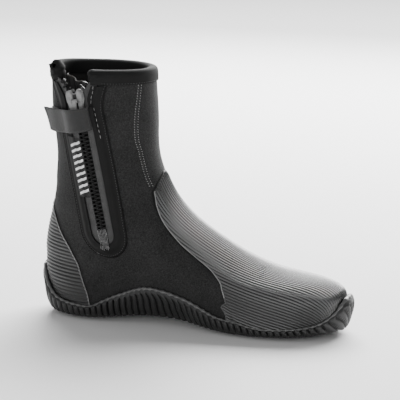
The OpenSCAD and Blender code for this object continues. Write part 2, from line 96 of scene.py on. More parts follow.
def curve(table, v):
    """A smooth curve through the rows of a table, read at v."""
    rows = np.asarray(table, float)
    v = np.asarray(v, float)
    x, y = rows[:, 0], rows[:, 1:]
    i = np.clip(np.searchsorted(x, v, side="right") - 1, 0, len(x) - 2)
    k = np.arange(len(x))
    before, after = np.maximum(k - 1, 0), np.minimum(k + 1, len(x) - 1)
    slope = (y[after] - y[before]) / (x[after] - x[before])[:, None]
    h = (x[i + 1] - x[i])[..., None]
    t = ((v - x[i]) / h[..., 0])[..., None]
    return ((2 * t**3 - 3 * t**2 + 1) * y[i] + (t**3 - 2 * t**2 + t) * h * slope[i]
            + (3 * t**2 - 2 * t**3) * y[i + 1] + (t**3 - t**2) * h * slope[i + 1])


def read(table, v):
    return curve(table, v)[..., 0]


def spring(x):
    return (TOE_SPRING * np.clip((x - 60) / 85, 0, 1)**2
            + HEEL_SPRING * np.clip((-100 - x) / 45, 0, 1)**2)


def wall(z, a):
    """Points of the bare last at heights z and angles a."""
    z, a = np.broadcast_arrays(np.asarray(z, float), np.asarray(a, float))
    (heel, shin, wide, half_in, half_out, n_back, n_front, draw_in,
     draw_out) = np.moveaxis(curve(SECTIONS, z), -1, 0)
    c, k = np.cos(np.radians(a)), np.sin(np.radians(a))
    n = np.where(c > 0, n_front, n_back)
    x = wide + np.where(c > 0, shin - wide, heel - wide) * np.abs(c)**(2 / n)
    draw = np.where(k < 0, draw_in, draw_out) * np.exp(-((x + 28) / 48)**2)
    y = np.where(k > 0, half_out, -half_in) * np.abs(k)**(2 / n)
    y = (y + TOE_IN * np.clip((x + 40) / 173, 0, 1)**2) * (1 - draw)
    y = y + LEAN * smooth((z - 40) / 190)
    arch = ARCH * np.exp(-np.abs((x + 34) / 48)**3)
    return np.stack([x + CENTRE, y, z + spring(x) + arch * (1 - smooth(z / 40))], -1)


def unit(v):
    return v / np.linalg.norm(v, axis=-1, keepdims=True)


def normal(z, a):
    z, a = np.broadcast_arrays(np.asarray(z, float), np.asarray(a, float))
    high = np.minimum(z + 0.6, TOP)
    return unit(np.cross(wall(z, a + 1) - wall(z, a - 1), wall(high, a) - wall(z - 0.6, a)))


def skin(z, a, off=0.0):
    """Points of the upper, raised by off along its normal."""
    return wall(z, a) + np.asarray(off, float)[..., None] * normal(z, a)


def bend(t, p):
    """Spreads angles evenly along a boxy outline."""
    q = np.floor(t / 90) * 90
    u = np.radians(np.clip(t - q, 0, 90))
    return q + np.degrees(np.arctan2(np.sin(u)**p, np.cos(u)**p))


def even(z, first, last, n):
    """n + 1 angles from first to last, evenly spaced along the skin at height z."""
    dense = bend(np.linspace(bend(first, 1 / 1.2), bend(last, 1 / 1.2), 6 * n + 1), 1.2)
    run = along(wall(z, dense))
    return np.interp(np.linspace(0, run[-1], n + 1), run, dense)


def along(points):
    """Length run from the first point to each point."""
    steps = np.linalg.norm(np.diff(points, axis=0), axis=-1)
    return np.concatenate([[0], np.cumsum(steps)])


def every(path, pitch):
    """Places along a path, pitch apart: the fractional index each falls at."""
    run = along(path)
    count = max(int(run[-1] / pitch), 1)
    at = np.linspace(0, run[-1], count + 1)
    return np.interp(at, run, np.arange(len(path)))


def front_half(z):
    """Half angle of the shin and forefoot panels."""
    return read(FRONT_HALF, z)


def vamp_half(z):
    """Half angle of the rubber vamp, which ends in a rounded tip."""
    tip = read(VAMP_TIP, np.clip(z, 120, 136))
    return np.where(z < 120, front_half(np.minimum(z, 120)), tip)


def from_toe(a):
    a = np.mod(a, 360)
    return np.where(a > 180, 360 - a, a)


def rand_top(a):
    return read(RAND_TOP, from_toe(a))


# ---------------------------------------------------------------- the zip's place

ZIP_FOOT, ZIP_HEAD = 72, 214
TAPE_OFF = 0.9
SLOT_HALF = 10.3
TAPE_EDGE = 4.6
SLIDER_S, SLIDER_L = 118.5, 25
V_START, V_L, V_HALF = 134, 18, 12
PLACKET_HALF = 23
PLACKET_FOOT = 83


def zip_x(z):
    return mix(-77.5, -103, (np.asarray(z, float) - ZIP_FOOT) / (ZIP_HEAD - ZIP_FOOT))


def zip_angle(z, w):
    """Angle on the inner side of the point that lies w in front of the zip."""
    z, w = np.broadcast_arrays(np.asarray(z, float), np.asarray(w, float))
    s = np.moveaxis(curve(SECTIONS, z), -1, 0)
    d = zip_x(z) + w - s[2]
    r = np.minimum(np.abs(d) / np.where(d > 0, s[1] - s[2], s[2] - s[0]), 1)
    return 360 - np.degrees(np.arccos(np.sign(d) * r**(np.where(d > 0, s[6], s[5]) / 2)))


def patch(z, w, off=0.0):
    return skin(z, zip_angle(z, w), off)


zip_start = patch(ZIP_FOOT, 0, TAPE_OFF)
zip_up = unit(patch(ZIP_HEAD, 0, TAPE_OFF) - zip_start)
zip_lean = patch(145, 0, 1) - patch(145, 0, 0)
zip_out = unit(zip_lean - (zip_lean @ zip_up) * zip_up)
zip_side = np.cross(zip_up, zip_out)


def zip_point(s, w, n):
    """A point s up the zip, w in front of it and n outwards."""
    s, w, n = (np.asarray(v, float)[..., None] for v in (s, w, n))
    return zip_start + s * zip_up + w * zip_side + n * zip_out


def zip_s(z):
    """Distance up the zip of the point at height z."""
    return (np.asarray(z, float) - zip_start[2]) / zip_up[2]


def part(s):
    """How far each tape has moved aside at s, above the slider."""
    return V_HALF * np.maximum((np.asarray(s, float) - V_START) / V_L, 0)**1.4


def tape_point(z, w, n):
    """A point of the tapes: flat beside the teeth, on the skin where they part and are sewn."""
    z, w, n = np.broadcast_arrays(*(np.asarray(v, float) for v in (z, w, n)))
    s = zip_s(z)
    free = smooth((s - SLIDER_S - SLIDER_L) / 7)
    sewn = smooth((np.abs(w) - SLOT_HALF + 1.5) / 1.5)
    t = np.maximum(free, sewn)[..., None]
    return mix(zip_point(s, w, n), patch(z, w, TAPE_OFF + n), t)


# ---------------------------------------------------------------- finishes

class Value:
    """A number socket that takes part in Python arithmetic."""

    def __init__(self, finish, socket):
        self.finish, self.socket = finish, socket

    def maths(self, operation, *values):
        return self.finish.node("ShaderNodeMath", {"operation": operation},
                                dict(enumerate(values)))

    def __add__(self, other):
        return self.maths("ADD", self, other)

    def __sub__(self, other):
        return self.maths("SUBTRACT", self, other)

    def __rsub__(self, other):
        return self.maths("SUBTRACT", other, self)

    def __mul__(self, other):
        return self.maths("MULTIPLY", self, other)

    __radd__, __rmul__ = __add__, __mul__

    def sine(self):
        return self.maths("SINE", self)

    def held(self, low, high):
        """0 below low, 1 above high, and straight between them."""
        return self.finish.node("ShaderNodeMapRange", {"clamp": True},
                                {0: self, 1: low, 2: high, 3: 0.0, 4: 1.0})


class Finish:
    """A material: a Principled shader and what feeds it."""

    def __init__(self, name, **constants):
        self.material = bpy.data.materials.new(name)
        self.material.use_nodes = True
        self.tree = self.material.node_tree
        self.shader = self.tree.nodes["Principled BSDF"]
        for key, value in constants.items():
            self.shader.inputs[key.replace("_", " ")].default_value = value
        self.place = self.node("ShaderNodeTexCoord", output="Object")

    def node(self, kind, settings=None, inputs=None, output=0):
        made = self.tree.nodes.new(kind)
        for key, value in (settings or {}).items():
            setattr(made, key, value)
        for key, value in (inputs or {}).items():
            if isinstance(value, Value):
                self.tree.links.new(value.socket, made.inputs[key])
            else:
                made.inputs[key].default_value = value
        return Value(self, made.outputs[output])

    def axis(self, place, which):
        return self.node("ShaderNodeSeparateXYZ", inputs={0: place}, output=which)

    def grain(self, scale, detail=2.0, rough=0.5):
        """Soft noise from 0 to 1; scale is in features per metre."""
        return self.node("ShaderNodeTexNoise", inputs={
            "Vector": self.place, "Scale": scale, "Detail": detail, "Roughness": rough})

    def blend(self, a, b, factor):
        """Colour a where factor is 0, b where it is 1."""
        a, b = (v if isinstance(v, Value) else (*v, 1.0) for v in (a, b))
        return self.node("ShaderNodeMix", {"data_type": "RGBA"}, {0: factor, 6: a, 7: b}, 2)

    def feed(self, **inputs):
        for key, value in inputs.items():
            self.tree.links.new(value.socket, self.shader.inputs[key.replace("_", " ")])
        return self

    def bump(self, height, depth, strength=1.0):
        """Relief of the given depth in metres."""
        return self.feed(Normal=self.node("ShaderNodeBump", inputs={
            "Height": height, "Distance": depth, "Strength": strength}))


def grey(v, warm=0.0):
    return (v * (1 + warm), v, v * (1 - warm))


def knitted(name, dark, light, rough=0.85, scale=1500.0, depth=0.00025, sheen=0.25):
    """Neoprene with a fine knitted face."""
    f = Finish(name, Sheen_Weight=sheen, Sheen_Roughness=0.5, Specular_IOR_Level=0.35)
    fine = f.grain(scale, 3.0, 0.7)
    patchy = f.grain(45.0, 2.0)
    fleck = (fine - 0.5) * 1.9 + 0.5 + (patchy - 0.5) * 0.35
    f.feed(Base_Color=f.blend(grey(dark), grey(light), fleck.held(0.18, 0.95)),
           Roughness=(fine * 0.15 + (rough - 0.08)))
    return f.bump(fine, depth, 0.7).material


def rubber(name, dark, light, rough, scale=700.0, depth=0.00008, spec=0.5):
    """Moulded rubber, a little dusty in patches."""
    f = Finish(name, Specular_IOR_Level=spec)
    fine = f.grain(scale, 3.0, 0.6)
    patchy = f.grain(38.0, 3.0, 0.6)
    f.feed(Base_Color=f.blend(grey(dark), grey(light), patchy.held(0.3, 0.72)),
           Roughness=patchy * 0.16 + fine * 0.08 + (rough - 0.12))
    return f.bump(fine, depth, 0.6).material


def woven(name, dark, light, rough=0.8, pitch=0.0007, depth=0.0002):
    """Cloth woven along and across its own UV map, which is in metres."""
    f = Finish(name, Sheen_Weight=0.2, Specular_IOR_Level=0.3)
    uv = f.node("ShaderNodeTexCoord", output="UV")
    turn = 2 * math.pi / pitch
    across = (f.axis(uv, 0) * turn).sine()
    up = (f.axis(uv, 1) * turn).sine()
    thread = across * up * 0.5 + 0.5
    wear = f.grain(160.0, 3.0, 0.6)
    f.feed(Base_Color=f.blend(grey(dark), grey(light), (thread * 0.6 + wear * 0.7).held(0.2, 1.1)),
           Roughness=wear * 0.15 + (rough - 0.07))
    return f.bump(thread + wear * 0.5, depth, 0.6).material


def plain(name, value, rough, metallic=0.0, spec=0.4):
    """Moulded plastic or painted metal with faint handling marks."""
    f = Finish(name, Metallic=metallic, Specular_IOR_Level=spec)
    marks = f.grain(260.0, 4.0, 0.65)
    f.feed(Base_Color=f.blend(grey(0.82 * value), grey(1.18 * value), marks.held(0.3, 0.7)),
           Roughness=marks * 0.2 + (rough - 0.1))
    return f.bump(marks, 0.00004, 0.4).material


def plush(name, dark, light, warm=0.0):
    """Brushed pile."""
    f = Finish(name, Sheen_Weight=0.35, Sheen_Roughness=0.6, Specular_IOR_Level=0.2)
    tufts = f.grain(620.0, 4.0, 0.7)
    swirl = f.grain(60.0, 2.0)
    f.feed(Base_Color=f.blend(grey(dark, warm), grey(light, warm),
                              (tufts * 0.7 + swirl * 0.5).held(0.3, 0.85)),
           Roughness=tufts * 0.1 + 0.85)
    return f.bump(tufts, 0.0005, 0.8).material


NEOPRENE = knitted("neoprene", 0.0015, 0.034, scale=900.0, depth=0.0005, sheen=0.05)
RIBBED = rubber("ribbed_rubber", 0.012, 0.017, 0.30, depth=0.000006, spec=1.0)
COUNTER = rubber("counter_rubber", 0.014, 0.022, 0.45)
SIDEWALL = rubber("sidewall_rubber", 0.010, 0.018, 0.48)
LIP = rubber("lip_rubber", 0.07, 0.12, 0.36)
SOLE = rubber("sole_rubber", 0.010, 0.018, 0.62, depth=0.00015)
PLACKET = rubber("placket_rubber", 0.003, 0.006, 0.62, scale=900.0, depth=0.00005, spec=0.2)
BINDING = knitted("binding", 0.002, 0.007, rough=0.85, scale=2200.0, depth=0.00012, sheen=0.0)
LINING = plush("lining", 0.006, 0.020, 0.06)
GUSSET = knitted("gusset_cloth", 0.004, 0.012, rough=0.7, scale=1800.0, depth=0.00012, sheen=0.05)
TAPE = woven("zip_tape", 0.03, 0.09)
TOOTH = plain("zip_plastic", 0.006, 0.5, spec=0.25)
SLIDER = plain("slider_paint", 0.24, 0.36, metallic=0.25)
# Near-black colour for the plate in the slider's channel: painted shade where the channel lies in
# shadow.
CHANNEL_SHADE = plain("slider_shadow", 0.012, 0.6)
GRIP = rubber("grip_rubber", 0.016, 0.024, 0.5)
WEBBING = woven("webbing", 0.016, 0.045, rough=0.8, pitch=0.0009)
HOOK = woven("hook_tape", 0.010, 0.022, rough=0.6, pitch=0.0012, depth=0.0005)
LOOPS = plush("loop_pile", 0.010, 0.024)
STRIP = woven("strip_cloth", 0.012, 0.025, rough=0.6)
BARS = plain("reflective_film", 0.80, 0.35)
THREAD = plain("pale_thread", 0.30, 0.6)
HEM = plush("hem", 0.02, 0.045, 0.12)
DARK_THREAD = plain("dark_thread", 0.05, 0.6)
PIPING = rubber("piping", 0.16, 0.28, 0.4)
BOARD = plain("fibre_board", 0.12, 0.8)
FOAM = plush("footbed_cloth", 0.02, 0.04)


# ---------------------------------------------------------------- mesh building

def finished(name, mesh, body, nodes=()):
    """Links a mesh as a piece that rides on a body and stands for CAD nodes."""
    mesh.set_sharp_from_angle(angle=math.radians(42))
    piece = bpy.data.objects.new(name, mesh)
    bpy.context.scene.collection.objects.link(piece)
    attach(piece, body)
    if nodes:
        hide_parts(*nodes)
    return piece


def mesh_of(name, points, faces, finish, uv=None):
    """A mesh in metres from points in millimetres, its faces turned outwards."""
    mesh = bpy.data.meshes.new(name)
    mesh.from_pydata((np.asarray(points) * MM).tolist(), [], [list(f) for f in faces])
    mesh.materials.append(finish)
    if uv is not None:
        layer = mesh.uv_layers.new(name="cloth")
        index = np.empty(len(mesh.loops), int)
        mesh.loops.foreach_get("vertex_index", index)
        layer.data.foreach_set("uv", (np.asarray(uv)[index] * MM).ravel())
    made = bmesh.new()
    made.from_mesh(mesh)
    bmesh.ops.recalc_face_normals(made, faces=made.faces)
    made.to_mesh(mesh)
    made.free()
    mesh.polygons.foreach_set("use_smooth", [True] * len(mesh.polygons))
    return mesh


def grid_faces(rows, cols, wrap=False, start=0):
    i, j = np.meshgrid(np.arange(rows - 1), np.arange(cols if wrap else cols - 1), indexing="ij")
    k = (j + 1) % cols
    return (start + np.stack([i * cols + j, i * cols + k, (i + 1) * cols + k,
                              (i + 1) * cols + j], -1)).reshape(-1, 4)


def grid_uv(points):
    """Millimetres across and up a grid, measured along its middle."""
    up = along(points[:, points.shape[1] // 2])
    across = along(points[points.shape[0] // 2])
    return np.stack(np.meshgrid(across, up), -1).reshape(-1, 2)


def shell(name, outer, inner, finish):
    """A closed sheet between two grids of points."""
    rows, cols = outer.shape[:2]
    m = rows * cols
    edge = np.concatenate([np.arange(cols), np.arange(1, rows) * cols + cols - 1,
                           (rows - 1) * cols + np.arange(cols - 2, -1, -1),
                           np.arange(rows - 2, 0, -1) * cols])
    after = np.roll(edge, -1)
    faces = np.concatenate([grid_faces(rows, cols), grid_faces(rows, cols, start=m)[:, ::-1],
                            np.stack([edge, edge + m, after + m, after], -1)])
    uv = grid_uv(outer)
    return mesh_of(name, np.concatenate([outer.reshape(-1, 3), inner.reshape(-1, 3)]), faces,
                   finish, np.concatenate([uv, uv]))


def loft(name, loops, finish, closed=True):
    """A skin over closed loops of points, joined end to end or capped."""
    n, k = loops.shape[:2]
    faces = grid_faces(n, k, wrap=True).tolist()
    if closed:
        last = (n - 1) * k
        faces += [[last + j, last + (j + 1) % k, (j + 1) % k, j] for j in range(k)]
    else:
        faces += [list(range(k)), list(range((n - 1) * k, n * k))]
    return mesh_of(name, loops.reshape(-1, 3), faces, finish, None)


def tube(name, path, out, radius, finish, closed=False, sides=8, flat=1.0):
    """A bead of the given radius along a path, standing up along the normals in out."""
    path, out = np.asarray(path), np.asarray(out)
    if closed:
        ahead, back = np.roll(path, -1, 0), np.roll(path, 1, 0)
    else:
        ahead = np.concatenate([path[1:], 2 * path[-1:] - path[-2:-1]])
        back = np.concatenate([2 * path[:1] - path[1:2], path[:-1]])
    side = unit(np.cross(unit(ahead - back), out))
    t = np.arange(sides) * 2 * math.pi / sides
    radius = np.broadcast_to(radius, len(path))[:, None, None]
    ring = (np.cos(t)[None, :, None] * side[:, None] * radius
            + np.sin(t)[None, :, None] * out[:, None] * radius * flat)
    return loft(name, path[:, None] + ring, finish, closed)


def join(name, meshes):
    """One mesh from several, with their finishes kept."""
    made = bmesh.new()
    slots = []
    for part_mesh in meshes:
        base = len(made.faces)
        made.from_mesh(part_mesh)
        made.faces.ensure_lookup_table()
        local = []
        for f in part_mesh.materials:
            if f not in slots:
                slots.append(f)
            local.append(slots.index(f))
        for face in made.faces[base:]:
            face.material_index = local[face.material_index]
    mesh = bpy.data.meshes.new(name)
    made.to_mesh(mesh)
    made.free()
    for f in slots:
        mesh.materials.append(f)
    return mesh


def prism(outline, n0, n1, place, finish, bevel):
    """An outline in the place's first two axes, from height n0 to n1, with rounded edges."""
    made = bmesh.new()
    base = [made.verts.new((x, y, n0)) for x, y in outline]
    face = made.faces.new(base)
    top = bmesh.ops.extrude_face_region(made, geom=[face])
    bmesh.ops.translate(made, vec=(0, 0, n1 - n0),
                        verts=[v for v in top["geom"] if isinstance(v, bmesh.types.BMVert)])
    bmesh.ops.recalc_face_normals(made, faces=made.faces)
    if bevel:
        bmesh.ops.bevel(made, geom=list(made.edges), offset=bevel, segments=2,
                        affect="EDGES", clamp_overlap=True)
    points = np.array([v.co for v in made.verts])
    made.verts.index_update()
    faces = [[v.index for v in f.verts] for f in made.faces]
    made.free()
    return mesh_of("prism", place(points), faces, finish)


# ---------------------------------------------------------------- rows of small things

def group(name, numbers):
    """A Geometry Nodes tree with named number inputs."""
    tree = bpy.data.node_groups.new(name, "GeometryNodeTree")
    face = tree.interface
    face.new_socket("Geometry", in_out="INPUT", socket_type="NodeSocketGeometry")
    for key in numbers:
        face.new_socket(key, in_out="INPUT", socket_type="NodeSocketFloat")
    face.new_socket("Finish", in_out="INPUT", socket_type="NodeSocketMaterial")
    face.new_socket("Geometry", in_out="OUTPUT", socket_type="NodeSocketGeometry")
    return tree


def add(tree, kind, settings=None, inputs=None):
    made = tree.nodes.new(kind)
    for key, value in (settings or {}).items():
        setattr(made, key, value)
    for key, value in (inputs or {}).items():
        if isinstance(value, bpy.types.NodeSocket):
            tree.links.new(value, made.inputs[key])
        else:
            made.inputs[key].default_value = value
    return made


def row_tree(name, shape):
    """Puts one small shape on every point, turned along the point's own two directions."""
    tree = group(name, ["Length", "Width", "Height"])
    given = add(tree, "NodeGroupInput").outputs
    size = add(tree, "ShaderNodeCombineXYZ", inputs={
        0: given["Length"], 1: given["Width"], 2: given["Height"]})
    if shape == "stitch":
        item = add(tree, "GeometryNodeMeshUVSphere", inputs={
            "Segments": 8, "Rings": 5, "Radius": 0.5}).outputs["Mesh"]
    else:
        item = tooth_item(tree)
    item = add(tree, "GeometryNodeSetShadeSmooth", inputs={"Geometry": item}).outputs[0]
    named = [add(tree, "GeometryNodeInputNamedAttribute", {"data_type": "FLOAT_VECTOR"},
                 {"Name": key}).outputs[0] for key in ("run", "out")]
    turn = add(tree, "FunctionNodeAxesToRotation", {"primary_axis": "Z", "secondary_axis": "X"},
               {0: named[1], 1: named[0]}).outputs[0]
    dots = add(tree, "GeometryNodeMeshToPoints", inputs={"Mesh": given["Geometry"]})
    placed = add(tree, "GeometryNodeInstanceOnPoints", inputs={
        "Points": dots.outputs[0], "Instance": item, "Rotation": turn,
        "Scale": size.outputs[0]})
    real = add(tree, "GeometryNodeRealizeInstances", inputs={0: placed.outputs[0]})
    dressed = add(tree, "GeometryNodeSetMaterial", inputs={
        "Geometry": real.outputs[0], "Material": given["Finish"]})
    add(tree, "NodeGroupOutput", inputs={0: dressed.outputs[0]})
    return tree


def tooth_item(tree):
    """A tooth one unit long: a flat foot that tapers, and a round head at its end."""
    foot = add(tree, "GeometryNodeMeshCube", inputs={"Size": (1.0, 0.55, 0.62)})
    foot = add(tree, "GeometryNodeTransform", inputs={
        "Geometry": foot.outputs[0], "Translation": (0.18, 0.0, 0.0),
        "Scale": (0.66, 1.0, 1.0)})
    head = add(tree, "GeometryNodeMeshUVSphere", inputs={
        "Segments": 10, "Rings": 6, "Radius": 0.5})
    head = add(tree, "GeometryNodeTransform", inputs={
        "Geometry": head.outputs["Mesh"], "Translation": (-0.2, 0.0, 0.0),
        "Scale": (0.6, 1.0, 1.0)})
    both = add(tree, "GeometryNodeJoinGeometry")
    for item in (foot, head):
        tree.links.new(item.outputs[0], both.inputs[0])
    return both.outputs[0]


ROW_TREES = {shape: row_tree(f"row_of_{shape}", shape) for shape in ("stitch", "tooth")}


def row_mesh(name, points, run, out, size, finish, shape="stitch"):
    """Small shapes of size (length, width, height) at points, along run and standing up out."""
    points, run, out = (np.asarray(v, float).reshape(-1, 3) for v in (points, run, out))
    carrier = bpy.data.meshes.new(name)
    carrier.from_pydata((points * MM).tolist(), [], [])
    for key, values in (("run", unit(run)), ("out", unit(out))):
        carrier.attributes.new(key, "FLOAT_VECTOR", "POINT").data.foreach_set(
            "vector", values.ravel())
    holder = bpy.data.objects.new(name, carrier)
    bpy.context.scene.collection.objects.link(holder)
    grow = holder.modifiers.new("row", "NODES")
    grow.node_group = ROW_TREES[shape]
    names = {s.name: s.identifier for s in grow.node_group.interface.items_tree
             if s.in_out == "INPUT"}
    for key, value in zip(("Length", "Width", "Height"), size):
        grow[names[key]] = value * MM
    grow[names["Finish"]] = finish
    bpy.context.view_layer.update()
    mesh = bpy.data.meshes.new_from_object(
        holder.evaluated_get(bpy.context.evaluated_depsgraph_get()))
    holder.modifiers.remove(grow)
    bpy.data.objects.remove(holder)
    bpy.data.meshes.remove(carrier)
    mesh.materials.clear()
    mesh.materials.append(finish)
    return mesh


def stitched(name, z, a, off, pitch, size, finish, lean=0.0):
    """Stitches along a line on the skin, given by its heights and angles."""
    path = skin(z, a, off)
    at = every(path, pitch)
    zs, angles = (np.interp(at, np.arange(len(path)), v) for v in (z, a))
    points, out = skin(zs, angles, off), normal(zs, angles)
    run = unit(np.gradient(points, axis=0))
    run = run + math.tan(math.radians(lean)) * np.cross(out, run)
    return row_mesh(name, points, run, out, size, finish)


# ---------------------------------------------------------------- camera, floor and light

AZIMUTH, ELEVATION = math.radians(18), math.radians(12.5)
DISTANCE = 1.8
AIM_HIGH = 0.111
FLOOR_HALF = 9000
FLOOR_GAP = 0.4

camera = bpy.data.cameras.new("camera")
camera.lens, camera.sensor_width = 180, 36
camera.clip_start, camera.clip_end = 0.05, 60
view = bpy.data.objects.new("camera", camera)
bpy.context.scene.collection.objects.link(view)
bpy.context.scene.camera = view
back = Vector((math.sin(AZIMUTH) * math.cos(ELEVATION), -math.cos(AZIMUTH) * math.cos(ELEVATION),
               math.sin(ELEVATION)))
right = Vector((math.cos(AZIMUTH), math.sin(AZIMUTH), 0))
target = Vector((CENTRE * MM, 0, AIM_HIGH))
view.matrix_world = Matrix.Translation(target + back * DISTANCE) @ Matrix(
    (right, back.cross(right), back)).transposed().to_4x4()


def softbox(name, place, aim, size, power):
    lamp = bpy.data.lights.new(name, "AREA")
    lamp.shape, lamp.size, lamp.size_y, lamp.energy = "RECTANGLE", *size, power
    held = bpy.data.objects.new(name, lamp)
    held.location = place
    held.rotation_euler = (Vector(aim) - Vector(place)).to_track_quat("-Z", "Y").to_euler()
    bpy.context.scene.collection.objects.link(held)


softbox("overhead", (0.0, 2.0, 2.0), (0.0, 0.0, 0.0), (3.4, 1.3), 210)
softbox("back_rim", (0.1, 1.5, 0.8), (0.03, 0.0, 0.06), (1.9, 0.7), 60)
softbox("front_fill", (0.1, -1.8, 0.62), (0.03, 0.0, 0.05), (1.7, 0.45), 10)
softbox("heel_rim", (-1.2, 0.5, 0.5), (-0.1, 0.0, 0.1), (0.4, 0.9), 1.5)
world = bpy.data.worlds.new("studio")
world.use_nodes = True
world.node_tree.nodes["Background"].inputs["Color"].default_value = (1, 1, 1, 1)
world.node_tree.nodes["Background"].inputs["Strength"].default_value = 0.33
bpy.context.scene.world = world
floor_corners = [(x * FLOOR_HALF, y * FLOOR_HALF, -FLOOR_GAP)
                 for x, y in ((-1, -1), (1, -1), (1, 1), (-1, 1))]
floor = bpy.data.objects.new("floor", mesh_of(
    "floor", floor_corners, [(0, 1, 2, 3)],
    Finish("floor", Base_Color=(0.9, 0.9, 0.9, 1), Roughness=0.7).material))
bpy.context.scene.collection.objects.link(floor)

# ---------------------------------------------------------------- neoprene upper

NEOPRENE_T = 5.0
SEW_DIP, SEW_REACH = 0.9, 1.5


def upper_panel(name, heights, left, right, cols, finish, nodes, grooves=(),
                outer=0.0, inner=-NEOPRENE_T, relief=None):
    """A panel of the upper; grooves names the edges ("left", "right") that are sewn down."""
    angles = np.array([even(z, a, b, cols) for z, a, b in
                       zip(heights, np.broadcast_to(left(heights), heights.shape),
                           np.broadcast_to(right(heights), heights.shape))])
    z = np.repeat(heights[:, None], cols + 1, 1)
    run = np.array([along(wall(h, a)) for h, a in zip(heights, angles)])
    dip = np.zeros_like(run)
    if "left" in grooves:
        dip += np.exp(-(run / SEW_REACH)**2)
    if "right" in grooves:
        dip += np.exp(-((run[:, -1:] - run) / SEW_REACH)**2)
    lift = outer - SEW_DIP * dip
    if relief is not None:
        lift = lift + relief(z, angles)
    mesh = shell(name, skin(z, angles, lift), skin(z, angles, np.full_like(z, inner)), finish)
    return finished(name, mesh, "boot", nodes)


def slot_half(z):
    return np.minimum(SLOT_HALF + 0.8 * part(zip_s(z)), 19)


def slot_edge(z, side):
    seam = mix(228, zip_angle(np.maximum(z, 60), 0), smooth((z - 34) / 26))
    return mix(seam + side * 0.02, zip_angle(z, side * slot_half(z)), smooth((z - 61) / 9))


def creases(z, a):
    """Slow waves where the neoprene bends at the ankle."""
    x = wall(z, a)[..., 0]
    instep = np.exp(-((z - 88) / 34)**2) * np.exp(-((x + 35) / 34)**2)
    heel = np.exp(-((z - 112) / 26)**2) * np.exp(-((x + 125) / 22)**2)
    return (instep * 0.55 * np.sin((z + 0.8 * x) / 5.4) + heel * 0.4 * np.sin(z / 5.0)
            + 0.25 * np.sin(z / 17 + a / 23) * smooth((z - 60) / 60))


TALL_Z = np.concatenate([np.arange(8, 60, 2.0), np.arange(60, 74, 1.0),
                         np.arange(74, 229.1, 2.5), [229]])
SHIN_Z = np.arange(100, 229.1, 2.5)
FOREFOOT_Z = np.concatenate([np.arange(8, 60, 2.0), np.arange(60, 99, 3.0)])
upper_panel("inner_quarter", TALL_Z, lambda z: slot_edge(z, 1), lambda z: 360 - front_half(z),
            64, NEOPRENE, ["medial_quarter"], ["right"], relief=creases)
upper_panel("inner_back", TALL_Z, lambda z: np.full_like(z, 180.0), lambda z: slot_edge(z, -1),
            34, NEOPRENE, ["medial_back_panel"], ["left"], relief=creases)
upper_panel("outer_quarter", TALL_Z, front_half, lambda z: np.full_like(z, 180.0), 80, NEOPRENE,
            ["lateral_quarter"], ["left", "right"], relief=creases)
upper_panel("shin", SHIN_Z, lambda z: -front_half(z), front_half, 40, NEOPRENE, ["shin_panel"],
            ["left", "right"], relief=creases)
upper_panel("forefoot", FOREFOOT_Z, lambda z: -front_half(z), front_half, 40, NEOPRENE,
            ["forefoot_panel"], relief=lambda z, a: np.full_like(z, -0.3))

# ---------------------------------------------------------------- ribbed toe vamp

OVERLAY_GLUE, OVERLAY_T = 0.3, 1.3
RIB, RIB_HIGH = 2.6, 0.6
RIB_STEPS = 6
STRIDE, PROBE = 0.75, 0.2


def rib_lines(side, far):
    """Points of the skin at the distances far from the ridge of the instep, one row for each
    of a fan of planes: level at the ankle, upright across the toes."""
    z = np.concatenate([np.linspace(150, 60, 90), np.linspace(59.4, 24, 90)])
    start = wall(z, np.zeros_like(z))
    at = np.linspace(0, along(start)[-1], 150)
    z = np.interp(at, along(start), z)
    a = np.zeros_like(z)
    start = wall(z, a)
    upright = smooth((start[:, :1] + 25) / 85)
    upright = upright - 0.5 * smooth((start[:, :1] - 95) / 42)
    facing = unit(mix(unit(np.gradient(start, axis=0)), np.array([1.0, 0, 0]), upright))
    steps = [(z, a)]
    for _ in range(int(far[-1] / STRIDE) + 8):
        p = wall(z, a)
        ahead = unit(np.cross(facing, normal(z, a)))
        ahead *= np.sign(ahead[:, 1:2]) * side if len(steps) < 4 else np.sign(
            (ahead * last).sum(-1, keepdims=True))
        last = ahead
        push = ahead * STRIDE - facing * ((p - start) * facing).sum(-1, keepdims=True)
        dz = (wall(z + PROBE, a) - wall(z - PROBE, a)) / (2 * PROBE)
        da = (wall(z, a + PROBE) - wall(z, a - PROBE)) / (2 * PROBE)
        zz, aa, za = ((u * v).sum(-1) for u, v in ((dz, dz), (da, da), (dz, da)))
        bz, ba = (dz * push).sum(-1), (da * push).sum(-1)
        det = zz * aa - za**2 + 1e-9
        z = np.clip(z + (bz * aa - ba * za) / det, -12, 200)
        a = a + np.clip((ba * zz - bz * za) / det, -6, 6)
        steps.append((z, a))
    steps = np.array(steps)
    paths = np.moveaxis(wall(steps[:, 0], steps[:, 1]), 1, 0)
    runs = np.array([along(path) for path in paths])
    return np.array([[np.interp(far, run, steps[:, k, i]) for i, run in enumerate(runs)]
                     for k in (0, 1)])


